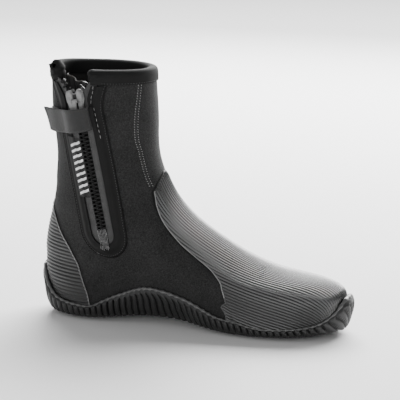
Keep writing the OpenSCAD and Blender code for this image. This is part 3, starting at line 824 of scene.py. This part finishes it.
def ribbed_vamp():
    far = np.arange(0, 132, RIB / RIB_STEPS)
    outer_side, inner_side = rib_lines(1, far), rib_lines(-1, far)
    z, a = np.concatenate([inner_side[:, :, :0:-1], outer_side], axis=2)
    far = np.concatenate([-far[:0:-1], far])
    crest = 0.5 + 0.5 * np.cos(2 * math.pi * far / RIB)
    outer = skin(z, a, np.broadcast_to(OVERLAY_T + RIB_HIGH * crest**0.7, z.shape))
    inner = skin(z, a, np.full_like(z, OVERLAY_GLUE))
    turned = np.abs((a + 180) % 360 - 180)
    keep = (z < 136) & (turned < vamp_half(np.clip(z, 8, 136)) + 0.2) & (z > 6)
    rows, cols = z.shape
    faces = grid_faces(rows, cols)
    faces = faces[keep.reshape(-1)[faces].all(1)]
    used = np.unique(faces)
    number = np.full(rows * cols, -1)
    number[used] = np.arange(len(used))
    faces = number[faces]
    m = len(used)
    edges = np.concatenate([faces[:, [i, (i + 1) % 4]] for i in range(4)])
    key = edges[:, 0].astype(np.int64) * m + edges[:, 1]
    twin = edges[:, 1].astype(np.int64) * m + edges[:, 0]
    rim = edges[~np.isin(key, twin)]
    sides = np.stack([rim[:, 1], rim[:, 0], rim[:, 0] + m, rim[:, 1] + m], -1)
    faces = np.concatenate([faces, faces[:, ::-1] + m, sides])
    points = np.concatenate([outer.reshape(-1, 3)[used], inner.reshape(-1, 3)[used]])
    return mesh_of("toe_vamp_ribbed", points, faces, RIBBED)


finished("toe_vamp_ribbed", ribbed_vamp(), "boot", ["toe_vamp"])


def edge_bead(z, a, radius, finish, off):
    """A flattened bead along an edge of the rubber."""
    return tube("bead", skin(z, a, np.full_like(z, off)), normal(z, a), radius, finish, flat=0.8)


def there_and_back(z, left, right):
    """Heights up one edge and down the other, with the angle of each."""
    return np.concatenate([z, z[::-1]]), np.concatenate([left, right[::-1]])


def vamp_piping():
    beads = []
    for z, radius, finish, off in ((np.linspace(34, 121, 120), 0.55, PIPING, 1.5),
                                   (np.linspace(9, 34, 30), 0.8, RIBBED, 1.2)):
        beads += [edge_bead(z, side * vamp_half(z), radius, finish, off) for side in (1, -1)]
    z = np.linspace(121, 136, 24)
    z, a = there_and_back(z, -vamp_half(z), vamp_half(z))
    return join("vamp_piping", beads + [edge_bead(z, a, 0.55, RIBBED, 1.3)])


finished("vamp_piping", vamp_piping(), "boot")

# ---------------------------------------------------------------- ribbed heel counter

HEEL_RIB, HEEL_RIB_HIGH = 3.3, 0.55


def counter_half(z):
    return read(COUNTER_HALF, z)


def heel_ribs(z, a):
    return HEEL_RIB_HIGH * (0.5 + 0.5 * np.cos(2 * math.pi * z / HEEL_RIB))**0.8


counter_z = np.arange(8, 102.01, HEEL_RIB / 8)
upper_panel("heel_counter_ribbed", counter_z, lambda z: 180 - counter_half(z),
            lambda z: 180 + counter_half(z), 40, COUNTER, ["heel_counter"],
            outer=OVERLAY_T, inner=OVERLAY_GLUE, relief=heel_ribs)
edge_z = np.linspace(9, 102, 90)
edge_z, edge_a = there_and_back(edge_z, 180 + counter_half(edge_z), 180 - counter_half(edge_z))
finished("counter_piping", edge_bead(edge_z, edge_a, 0.6, PIPING, 1.1), "boot")

# ---------------------------------------------------------------- ribbed sidewall

SIDE_RIB, SIDE_GROOVE = 5.9, 2.3
PLATE_Z = 2.5
FLANGE_TOP, FLANGE_IN = 7.0, -1.8
GIRTH_Z = 14


def side_out(h):
    return 4.3 + 1.7 * smooth((h - 130) / 30) + 4 * (1 - smooth((h - 4) / 24))


def side_bed(h):
    on_overlay = 1 - smooth((h - 92) / 4) * (1 - smooth((h - 127) / 4))
    return 0.3 + 1.6 * on_overlay


def ring_angles(z, count):
    """Angles evenly spaced round the foot at height z, from the heel, and the length run."""
    dense = bend(np.linspace(180, 540, 2881), 1.2)
    run = along(wall(z, dense))
    return np.interp(np.linspace(0, run[-1], count + 1)[:-1], run, dense) % 360, run[-1]


def ribbed_sidewall():
    _, length = ring_angles(GIRTH_Z, 8)
    ribs = round(length / SIDE_RIB)
    a, _ = ring_angles(GIRTH_Z, ribs * 20)
    run = np.arange(len(a)) / len(a)
    from_heel = np.minimum(run, 1 - run) * length
    h, top = from_toe(a), rand_top(a)
    out, bed = side_out(h), side_bed(h)
    t = np.array([0, .03, .08, .16, .26, .36, .46, .56, .66, .76, .84, .9, .94, .97, 1])
    z = PLATE_Z + t[None] * (top - PLATE_Z)[:, None]
    # The ribs lean forward towards the floor, more and more along the foot
    lean = (-0.15 * smooth((from_heel - 40) / 40) + 0.25 * smooth((from_heel - 110) / 60)
            + 0.5 * smooth((from_heel - 200) / 90))
    place = from_heel[:, None] - lean[:, None] * (top[:, None] - z)
    pitch = length / ribs
    phase = np.abs((place / pitch) % 1 - 0.5) * 2
    groove = phase**5 + 0.35 * phase**2
    window = 1 - smooth((t - 0.84) / 0.08)
    crown = -2.6 * (1 - t)**4 - 1.3 * smooth((t - 0.86) / 0.14) + 0.35 * np.sin(math.pi * t)
    off = out[:, None] + 0.3 + crown[None] - SIDE_GROOVE * groove * window[None]
    off = np.maximum(off, bed[:, None] + 0.3)
    face = skin(z, a[:, None] + np.zeros_like(z), off)
    lips = [(top, bed), (FLANGE_TOP, bed), (FLANGE_TOP, FLANGE_IN), (PLATE_Z, FLANGE_IN)]
    back = np.stack([skin(lip_z + 0 * top, a, lip_off + 0 * top) for lip_z, lip_off in lips], 1)
    return loft("sidewall_ribbed", np.concatenate([face, back], 1), SIDEWALL)


finished("sidewall_ribbed", ribbed_sidewall(), "boot", ["sidewall_rand"])


def sidewall_lip():
    _, length = ring_angles(GIRTH_Z, 8)
    count = round(length / SIDE_RIB) * 10
    a, _ = ring_angles(GIRTH_Z, count)
    h = from_toe(a)
    wave = 0.28 * np.cos(np.arange(count) * 2 * math.pi / 10)
    off = side_bed(h) + (side_out(h) - side_bed(h)) * 0.42
    top = rand_top(a)
    ends = (side_out(h) - side_bed(h)) * 0.36
    return tube("sidewall_lip", skin(top - 0.2, a, off), normal(top, a),
                ends + wave, LIP, closed=True, sides=10)


finished("sidewall_lip", sidewall_lip(), "boot")

# ---------------------------------------------------------------- collar

BINDING_Z = 218
BINDING_ENDS = (17.5, -18.5)


def collar_binding():
    cols = 150
    mid, half = -3.1, 4.75
    loops = []
    first, last = zip_angle(225, BINDING_ENDS[0]), 360 + zip_angle(225, BINDING_ENDS[1])
    dense = even(225, first, last, cols)
    run = along(wall(225, dense))
    turn = np.linspace(0, math.pi, 13)
    for a, u in zip(dense, run):
        end = min(u, run[-1] - u)
        rear = math.exp(-((run[-1] - u) / 7)**2)
        swell = 1.2 * math.exp(-(end / 9)**4) + 0.9 * rear
        ripple = 0.22 * math.sin(u / 3.1) * math.sin(u / 11) + 0.15 * math.sin(u / 5.3)
        outer = 1.7 + swell
        z = [BINDING_Z, BINDING_Z + 0.2, BINDING_Z + 2, 222, 225, 227.2]
        off = [0.5, outer - 0.2, outer + ripple, outer + 0.3 + ripple, outer + 0.4, outer + 0.3]
        low, high = mid + half + 0.2 + swell * 0.6, mid - half
        z += list(227.6 + (3.6 + 1.6 * rear) * np.sin(turn))
        off += list((low + high) / 2 + (low - high) / 2 * np.cos(turn))
        z += [227, 224, BINDING_Z + 0.5, BINDING_Z, BINDING_Z, 226]
        off += [-7.9, -8.0, -8.0, -7.8, -6.7, -5.5]
        z += [226]
        off += [-1.0]
        loops.append(skin(np.array(z), a, np.array(off)))
    return loft("collar_binding_folded", np.array(loops), BINDING, closed=False)


finished("collar_binding_folded", collar_binding(), "boot", ["collar_binding"])


def binding_roll(w, radius, low, high):
    """The rolled end of the binding beside the zip."""
    z = np.linspace(low, high, 26)
    along_roll = (z - low) / (high - low) * 2 - 1
    path = skin(z, zip_angle(z, w), np.full_like(z, -2.3))
    size = radius * (1 - np.abs(along_roll)**4)**0.5 + 0.05 + 0.25 * np.sin(z * 1.3)
    return tube("roll", path, np.broadcast_to(zip_out, path.shape), size, BINDING, sides=18)


finished("binding_rolls", join("binding_rolls", [
    binding_roll(-20.3, 6.6, 217.5, 233.2), binding_roll(18.6, 4.6, 218.5, 231.4)]), "boot")

LINING_OUT, LINING_IN = -5.8, -6.6
LINING_Z = np.concatenate([np.arange(14.5, 60, 2.5), np.arange(60, 228.1, 3.0)])
LINING_SEAM = 70


def lining_of_foot():
    around = 120
    heights = LINING_Z[LINING_Z < LINING_SEAM]
    a = np.array([ring_angles(h, around)[0] for h in heights])
    z = np.repeat(heights[:, None], around, 1)
    slack = 1.1 * smooth((40 - z) / 16)
    wave = 0.25 * np.sin(z / 9 + a / 15) * np.sin(a / 8)
    loops = np.concatenate([skin(z, a, LINING_IN - slack + wave),
                            skin(z, a, LINING_OUT - slack)[::-1]])
    return loft("lining_of_foot", np.swapaxes(loops, 0, 1), LINING)


finished("lining_of_foot", lining_of_foot(), "boot", ["lining_foot"])
upper_panel("lining_of_shaft", LINING_Z[LINING_Z > LINING_SEAM],
            lambda z: zip_angle(z, slot_half(z) + 0.7),
            lambda z: 360 + zip_angle(z, -slot_half(z) - 0.7), 110, LINING, ["lining_shaft"],
            outer=LINING_OUT, inner=LINING_IN)

# ---------------------------------------------------------------- placket, gusset and tapes

PLACKET_Z = np.concatenate([np.arange(217, 90, -2.5), [90, 87, 84.5]])


def placket_line(r, bow):
    """Heights and distances from the zip round the U: down the front, up the rear."""
    flare = 8 * np.clip((PLACKET_Z - 196) / 21, 0, 1)**1.5
    front = r + bow * flare + (1 - bow) * 0.75 * part(zip_s(PLACKET_Z))
    rear = -r - bow * 0.4 * flare - (1 - bow) * 0.75 * part(zip_s(PLACKET_Z))
    t = np.radians(np.linspace(0, -180, 37))
    return (np.concatenate([PLACKET_Z, PLACKET_FOOT + r * np.sin(t), PLACKET_Z[::-1]]),
            np.concatenate([front, r * np.cos(t), rear[::-1]]))


def placket():
    k = np.concatenate([[0, .02, .05], np.linspace(.1, .82, 16), [.86, .9, .93, .96, .98, 1]])
    z, w = np.moveaxis(np.array([placket_line(mix(SLOT_HALF + 0.3, PLACKET_HALF, v), v)
                                 for v in k]), 1, 0)
    bed = 0.2 + 1.6 * (1 - smooth((k - 0.35) / 0.4))
    edge = np.minimum(np.minimum(k, 1 - k) / 0.05, 1)
    top = bed + 0.35 + 0.9 * np.sqrt(1 - (1 - edge)**2)
    top += 0.3 * np.exp(-((k - 0.94) / 0.022)**2) - 0.3 * np.exp(-((k - 0.88) / 0.02)**2)
    top += 0.3 * np.exp(-((k - 0.07) / 0.03)**2)
    lift = np.broadcast_to(top[:, None], z.shape).copy()
    # A soft fold runs down the front side from the collar
    fold = smooth((z - 165) / 30) * (w > 0)
    lift += 0.7 * fold * np.exp(-((k[:, None] - 0.42) / 0.06)**2)
    lift += 0.22 * np.sin(z / 7.0 + w / 6) * smooth((z - 150) / 40)
    under = np.broadcast_to(bed[:, None], z.shape)
    return shell("placket", np.swapaxes(patch(z, w, lift), 0, 1),
                 np.swapaxes(patch(z, w, under), 0, 1), PLACKET)


finished("placket", placket(), "boot", ["zip_placket"])


GUSSET_HALF = 16.6


def gusset_top(w):
    return 217.6 + 3.0 * (w - 0.45)**2 + 0.5 * np.sin(7 * w)


def gusset_fold(z, w, loose):
    return -7.2 - 2.6 * loose * (0.5 + 0.5 * np.sin(w * 0.62 + 0.4)) - 0.3 * np.sin(z / 8)


def gusset():
    v, w = np.meshgrid(np.linspace(0, 1, 70), np.linspace(-1, 1, 60), indexing="ij")
    z = mix(70, gusset_top(w), v)
    w = w * mix(19, GUSSET_HALF, smooth((z - 200) / 14))
    fold = gusset_fold(z, w, smooth((z - 188) / 30))
    hem = 0.35 * np.exp(-((1 - v) / 0.02)**2)
    return shell("gusset_folded", patch(z, w, fold + hem), patch(z, w, fold - 1.1 - hem), GUSSET)


def gusset_line(w):
    top = gusset_top(w)
    w = w * GUSSET_HALF
    return patch(top, w, gusset_fold(top, w, 1) - 0.5)


hem = gusset_line(np.linspace(-1, 1, 120))
finished("gusset_hem", tube("gusset_hem", hem, np.broadcast_to(zip_out, hem.shape), 0.8, HEM),
         "boot")
folded = finished("gusset_folded", gusset(), "boot", ["zip_gusset"])


def tape(side):
    columns = 14
    z = np.concatenate([np.arange(64, 200, 2.0), np.arange(200, 222.1, 0.8)])
    s = zip_s(z)
    inner = np.where(s < 0, 0.3, TAPE_EDGE + part(s))
    outer = np.minimum(16.5 + 0.6 * part(s),
                       np.sqrt(PLACKET_HALF**2 - np.maximum(PLACKET_FOOT - z, 0)**2) - 1.2)
    w = inner[:, None] + (outer - inner)[:, None] * np.linspace(0, 1, columns)[None]
    zz = np.repeat(z[:, None], columns, 1)
    bead = 0.35 * np.exp(-((w - inner[:, None]) / 0.8)**2)
    return shell("tape", tape_point(zz, side * w, 0.4 + bead),
                 tape_point(zz, side * w, -0.4 - bead), TAPE)


for side, node in ((1, "zip_tape_front"), (-1, "zip_tape_rear")):
    finished(f"{node}_woven", tape(side), "boot", [node])

# ---------------------------------------------------------------- teeth and stops

PITCH = 3.5
TOOTH_SIZE = (6.2, 2.3, 3.2)
TOOTH_MID = 1.35
TOP_STOP_S, BOTTOM_STOP_S = 149.6, 2.8


def teeth(side):
    s = np.arange(5.2 + (PITCH / 2 if side < 0 else 0), 147.01, PITCH)
    z = zip_start[2] + s * zip_up[2]
    w = side * (part(s) + TOOTH_MID)
    points = tape_point(z, w, 0.15)
    ahead = tape_point(z + 0.5, side * (part(s + 0.5) + TOOTH_MID), 0.15)
    out = np.where((s > SLIDER_S + SLIDER_L)[:, None], normal(z, zip_angle(z, w)), zip_out)
    across = side * unit(np.cross(unit(ahead - points), out))
    return row_mesh("teeth", points, across, out, TOOTH_SIZE, TOOTH, "tooth")


for side, node in ((1, "zip_teeth_front"), (-1, "zip_teeth_rear")):
    finished(f"{node}_moulded", teeth(side), "boot", [node])


def zip_place(s0, turned=0.0):
    """Puts points with X across, Y up and Z out of the zip at s0, turned about that Z."""
    c, k = math.cos(turned), math.sin(turned)

    def place(p):
        x, y = p[:, 0] * c - p[:, 1] * k, p[:, 0] * k + p[:, 1] * c
        return zip_point(s0 + y, x, p[:, 2])
    return place


def bar(width, high, middle=0.0):
    """Corners of a bar across the zip."""
    w, h = width / 2, high / 2
    return [(-w, middle - h), (w, middle - h), (w, middle + h), (-w, middle + h)]


def zip_stop(width, high, w, s, turned=0.0):
    """A moulded block through the tapes, w from the middle of the zip."""
    base = zip_place(s, turned)
    return prism(bar(width, high), -1.7, 1.7, lambda p: base(p) + w * zip_side, TOOTH, 0.6)


def stop_on_tape(side):
    s = TOP_STOP_S
    z = zip_start[2] + s * zip_up[2]
    w = side * (part(s) + 1.6)
    shift = tape_point(z, w, 0.0) - zip_point(s, w, 0)
    piece = zip_stop(5, 2.6, w, s, -side * 0.5)
    for v in piece.vertices:
        v.co += Vector((shift * MM).tolist())
    return piece


finished("top_stops_moulded", join("top_stops", [stop_on_tape(1), stop_on_tape(-1)]), "boot",
         ["zip_top_stops"])
finished("bottom_stop_moulded", zip_stop(6.8, 2.4, 0, BOTTOM_STOP_S), "boot",
         ["zip_bottom_stop"])

# ---------------------------------------------------------------- slider and pull

PIN_S = SLIDER_S + 15.5
HALF = 8.8
OUTLINE = [(-6.0, 0), (6.0, 0), (6.5, 6), (7.2, 11), (HALF, 16), (HALF, 20.5), (7.6, 24.2),
           (5.4, SLIDER_L), (3.0, SLIDER_L), (1.2, 21.5), (-1.2, 21.5), (-3.0, SLIDER_L),
           (-5.4, SLIDER_L), (-7.6, 24.2), (-HALF, 20.5), (-HALF, 16), (-7.2, 11), (-6.5, 6)]
at_slider = zip_place(SLIDER_S)


def slider_flanges(n0, n1):
    """The two edges that guide the tapes."""
    parts = []
    for side in (-1, 1):
        flange = [(side * 5.3, 0.5), (side * 6.4, 0.5), (side * 6.4, 12), (side * 5.3, 12)]
        parts.append(prism(flange, n0, n1, at_slider, SLIDER, 0.2))
    return parts


def slider_front():
    parts = [prism(OUTLINE, 2.1, 3.6, at_slider, SLIDER, 0.35)] + slider_flanges(0.9, 2.6)
    left = [(-5.6, 0.6), (-2.2, 0.6), (-1.6, 8), (-1.4, 20), (-2.6, 24.2), (-5.2, 24.4),
            (-7.3, 23.2), (-8.2, 20), (-8.1, 16.2), (-6.7, 11)]
    lobe = [(8.2, 16.5), (8.2, 20.2), (7.0, 23.6), (5.0, 24.4), (3.2, 24.0), (2.3, 21),
            (2.3, 15.6), (6.6, 14.2)]
    strip = [(5.5, 0.6), (6.2, 6), (6.9, 11), (7.3, 13.4), (5.6, 13.6), (4.6, 0.6)]
    for shape, high in ((left, 5.0), (lobe, 5.0), (strip, 4.6)):
        parts.append(prism(shape, 3.2, high, at_slider, SLIDER, 0.55))
    # A near-black plate sunk in the channel is painted shade, standing in for the shadow there.
    channel = [(-1.3, 0.4), (2.2, 0.4), (2.2, 21.0), (-1.3, 21.0)]
    parts.append(prism(channel, 3.3, 3.75, at_slider, CHANNEL_SHADE, 0))
    for middle in (-2.65, 2.65):
        ear = [(middle - .55, 13.6), (middle + .55, 13.6), (middle + .55, 17.0),
               (middle - .55, 17.0)]
        parts.append(prism(ear, 3.4, 7.1, at_slider, SLIDER, 0.3))
    return join("slider_front", parts)


def slider_back():
    return join("slider_back", [prism(OUTLINE, -3.9, -2.1, at_slider, SLIDER, 0.4)]
                + slider_flanges(-2.6, -0.9))


finished("slider_front_cast", slider_front(), "slider", ["slider_front_plate"])
finished("slider_back_cast", slider_back(), "slider", ["slider_back_plate"])


at_pin = zip_place(PIN_S)


def pull_stem():
    stem = [(-1.6, -20.5), (1.6, -20.5), (1.45, -6), (1.9, -1.6), (1.9, 1.4), (-1.9, 1.4),
            (-1.9, -1.6), (-1.45, -6)]
    return prism(stem, 5.0, 6.6, at_pin, SLIDER, 0.4)


def pull_end():
    t = np.radians(np.linspace(180, 360, 13))
    shape = [(2.6, -20.2), (-2.6, -20.2)] + [(2.6 * math.cos(v), -23.2 + 2.6 * math.sin(v))
                                             for v in t]
    parts = [prism(shape, 4.7, 6.8, at_pin, GRIP, 0.5)]
    for middle in (-21.4, -22.9, -24.4):
        parts.append(prism(bar(3.4, 0.6, middle), 6.5, 7.1, at_pin, GRIP, 0.2))
    return join("pull_end", parts)


finished("pull_stem_cast", pull_stem(), "pull", ["pull_link"])
finished("pull_end_moulded", pull_end(), "pull", ["pull_grip"])

# ---------------------------------------------------------------- tab

TAB_W, TAB_T = 20.5, 1.3
# distance in front of the zip, height over the skin
TAB = [[10.4, 3.6], [9.6, 6.4], [7, 8.6], [3.5, 10.2], [0, 10.8], [-3.5, 10.6], [-7, 9.6],
       [-10.5, 7.6], [-14, 5.4], [-19, 4], [-25, 3.6]]
# angle, height over the skin at the upper and the lower edge
TAB_BACK = [[217, 3.6, 3.6], [209, 4.1, 3.9], [203, 5.4, 4.3], [199, 7.4, 5.2]]


def tab_mid(x):
    return 188.3 + 0.17 * (x + 88)


def tab_surface(v, off):
    """Points of the tab across its width, v from -1 to 1, off outside its inner face."""
    front = []
    for w, lift in TAB:
        x = zip_x(186) + w
        front.append(patch(tab_mid(x) + v * TAB_W / 2, w, lift + off))
    rear = []
    for k, (a, high, low) in enumerate(TAB_BACK):
        rear.append(skin(tab_mid(-126 - 2 * k) + v * TAB_W / 2, a,
                         mix(low, high, (v + 1) / 2) + off))
    coarse = np.array(front + rear)
    run = along(coarse)
    fine = np.linspace(0, run[-1] * (1 - 0.055 * (1 - v)), 110)
    return np.stack([curve(np.column_stack([run, coarse[:, i]]), fine)[:, 0]
                     for i in range(3)], -1)


def tab_webbing():
    edge = np.linspace(-1, 1, 25)
    round_off = 0.45 * (1 - np.sqrt(np.clip(1 - (np.abs(edge)**14), 0, 1)))
    outer = np.array([tab_surface(v, TAB_T - r) for v, r in zip(edge, round_off)])
    inner = np.array([tab_surface(v, r) for v, r in zip(edge, round_off)])
    return shell("tab_folded", np.swapaxes(outer, 0, 1), np.swapaxes(inner, 0, 1), WEBBING)


finished("tab_folded", tab_webbing(), "tab", ["tab_webbing"])


def tab_stitches():
    parts = []
    for v in (-0.86, 0.86):
        line = tab_surface(v, TAB_T + 0.05)
        at = every(line, 2.2)
        k = np.arange(len(line))
        points = np.stack([np.interp(at, k, line[:, i]) for i in range(3)], -1)
        across = tab_surface(v * 0.9, TAB_T) - line
        run = np.gradient(points, axis=0)
        side = np.stack([np.interp(at, k, across[:, i]) for i in range(3)], -1) * -np.sign(v)
        parts.append(row_mesh("tab_stitch", points, run, np.cross(side, run), (1.5, .4, .25),
                              DARK_THREAD))
    return join("tab_stitches", parts)


finished("tab_stitches", tab_stitches(), "tab")

# ---------------------------------------------------------------- strip beside the zip

STRIP_Z = (116, 170)
STRIP_W = (-14.6, -4.4)
PLACKET_EDGE, STRIP_FALL = -10.2, 1.6
BAR_PITCH, BAR_RISE, BAR_THICK = 5.4, 4.0, 2.2


def on_tape(w):
    return smooth((w - PLACKET_EDGE) / STRIP_FALL)


def strip_point(z, w, up):
    """Points of the label, which runs from the face of the placket down to the tape."""
    return mix(patch(z, w, 3.4 + up), tape_point(z, np.maximum(w, PLACKET_EDGE), 0.45 + up),
               on_tape(w)[..., None])


def reflective_strip():
    z, w = np.meshgrid(np.linspace(*STRIP_Z, 40), np.linspace(*STRIP_W, 22), indexing="ij")
    parts = [shell("strip", strip_point(z, w, 0.3), strip_point(z, w, 0.0), STRIP)]
    u, v = np.meshgrid(np.linspace(0, 1, 14), np.linspace(0, 1, 3), indexing="ij")
    w = mix(STRIP_W[0] + 1.3, STRIP_W[1] - 1.1, u)
    slant = BAR_RISE * u + BAR_THICK * v - on_tape(w) * (w * zip_side[2] + 0.6)
    for z0 in np.arange(STRIP_Z[0] + 1.6, STRIP_Z[1] - 8, BAR_PITCH):
        z = z0 + slant
        parts.append(shell("bar", strip_point(z, w, 0.42), strip_point(z, w, 0.2), BARS))
    return join("strip", parts)


finished("reflective_strip_barred", reflective_strip(), "boot",
         ["reflective_strip"])

# ---------------------------------------------------------------- stitching

FINE_STITCH = (1.5, 0.5, 0.4)
COVER_STITCH = (3.0, 0.45, 0.35)
EDGE_STITCH = (1.7, 0.4, 0.3)
# Size of the long pale stitches that are painted highlights on the placket's folds
HIGHLIGHT_DASH = (3.4, 0.45, 0.35)
COLLAR_STITCH = (1.8, 0.4, 0.3)
DEGREES_PER_MM = 57.3 / 38
PLACKET_SEAM = 0.84
BINDING_SEAM = 219.4


def front_seam_stitches():
    """Flat cover seams on both sides of the shin: slanted threads between two pale rows."""
    parts = []
    z = np.linspace(126, 217, 120)
    for side in (1, -1):
        seam = side * front_half(z)
        for shift in (-1.5, 1.5):
            parts.append(stitched("seam", z, seam + shift * DEGREES_PER_MM, 0.12, 2.3,
                                  FINE_STITCH, THREAD, 24))
        parts.append(stitched("seam", z, seam, -0.45, 1.15, COVER_STITCH, DARK_THREAD, 68))
    return join("front_seam", parts)


def vamp_tip_stitches():
    z = np.linspace(121, 135.5, 30)
    return join("vamp_tip", [stitched("tip", z, side * (vamp_half(z) + 4.5), 0.1, 2.0,
                                      FINE_STITCH, DARK_THREAD) for side in (1, -1)])


def placket_stitches():
    z, w = placket_line(mix(SLOT_HALF + 0.3, PLACKET_HALF, PLACKET_SEAM), PLACKET_SEAM)
    return stitched("placket_stitches", z, zip_angle(z, w), 1.5, 2.4, EDGE_STITCH, DARK_THREAD)


def placket_top_stitches():
    """Two lengths of long pale stitches down the front of the placket: painted highlights that
    stand for the glints on its folds.
    """
    parts = []
    for z0, z1, w0, w1 in ((203, 216, 14.2, 18.6), (172, 197, 16.2, 15.8)):
        z = np.linspace(z0, z1, 30)
        w = mix(w0, w1, smooth((z - z0) / (z1 - z0)))
        parts.append(stitched("pale", z, zip_angle(z, w), 3.35, 4.4, HIGHLIGHT_DASH, THREAD))
    return join("painted_highlights", parts)


def binding_stitches():
    a = even(BINDING_SEAM, zip_angle(BINDING_SEAM, 24), 360 + zip_angle(BINDING_SEAM, -24), 200)
    return stitched("binding_stitches", np.full_like(a, BINDING_SEAM), a, 1.95, 2.6,
                    COLLAR_STITCH, DARK_THREAD)


def tack_threads():
    """Bar tack of loose threads over the foot of the zip."""
    parts = []
    for k in range(7):
        w = -3.6 + 1.3 * k
        s = np.linspace(-3.0 - 0.8 * (k % 3), 14.5 + 0.6 * (k % 2), 30)
        sway = 0.28 * np.sin(s / 2.6 + k * 0.7)
        lift = 1.7 + 0.1 * np.cos(s / 6) + 0.6 * (1 - smooth((s + 2) / 4))
        path = zip_point(s, w + sway - 0.03 * s, lift)
        parts.append(tube("tack", path, np.broadcast_to(zip_out, path.shape), 0.2, THREAD,
                          sides=6))
    return join("tack_threads", parts)


for make, slot in ((front_seam_stitches, "neoprene"), (vamp_tip_stitches, "overlay_rubber"),
                   (placket_stitches, "placket_rubber"),
                   (placket_top_stitches, "placket_rubber"), (binding_stitches, "binding"),
                   (tack_threads, "zip_tape")):
    finished(make.__name__, make(), "boot")

# ---------------------------------------------------------------- parts kept from the frame

for node, finish in (("outsole_plate", SOLE), ("tread_lugs", SOLE), ("insole_board", BOARD),
                     ("footbed", FOAM), ("loop_patch", LOOPS), ("tab_anchor", BINDING),
                     ("slider_pin", SLIDER), ("tab_hook_patch", HOOK)):
    kept = bpy.data.objects[node]
    kept.data.materials.clear()
    kept.data.materials.append(finish)

bpy.context.view_layer.update()
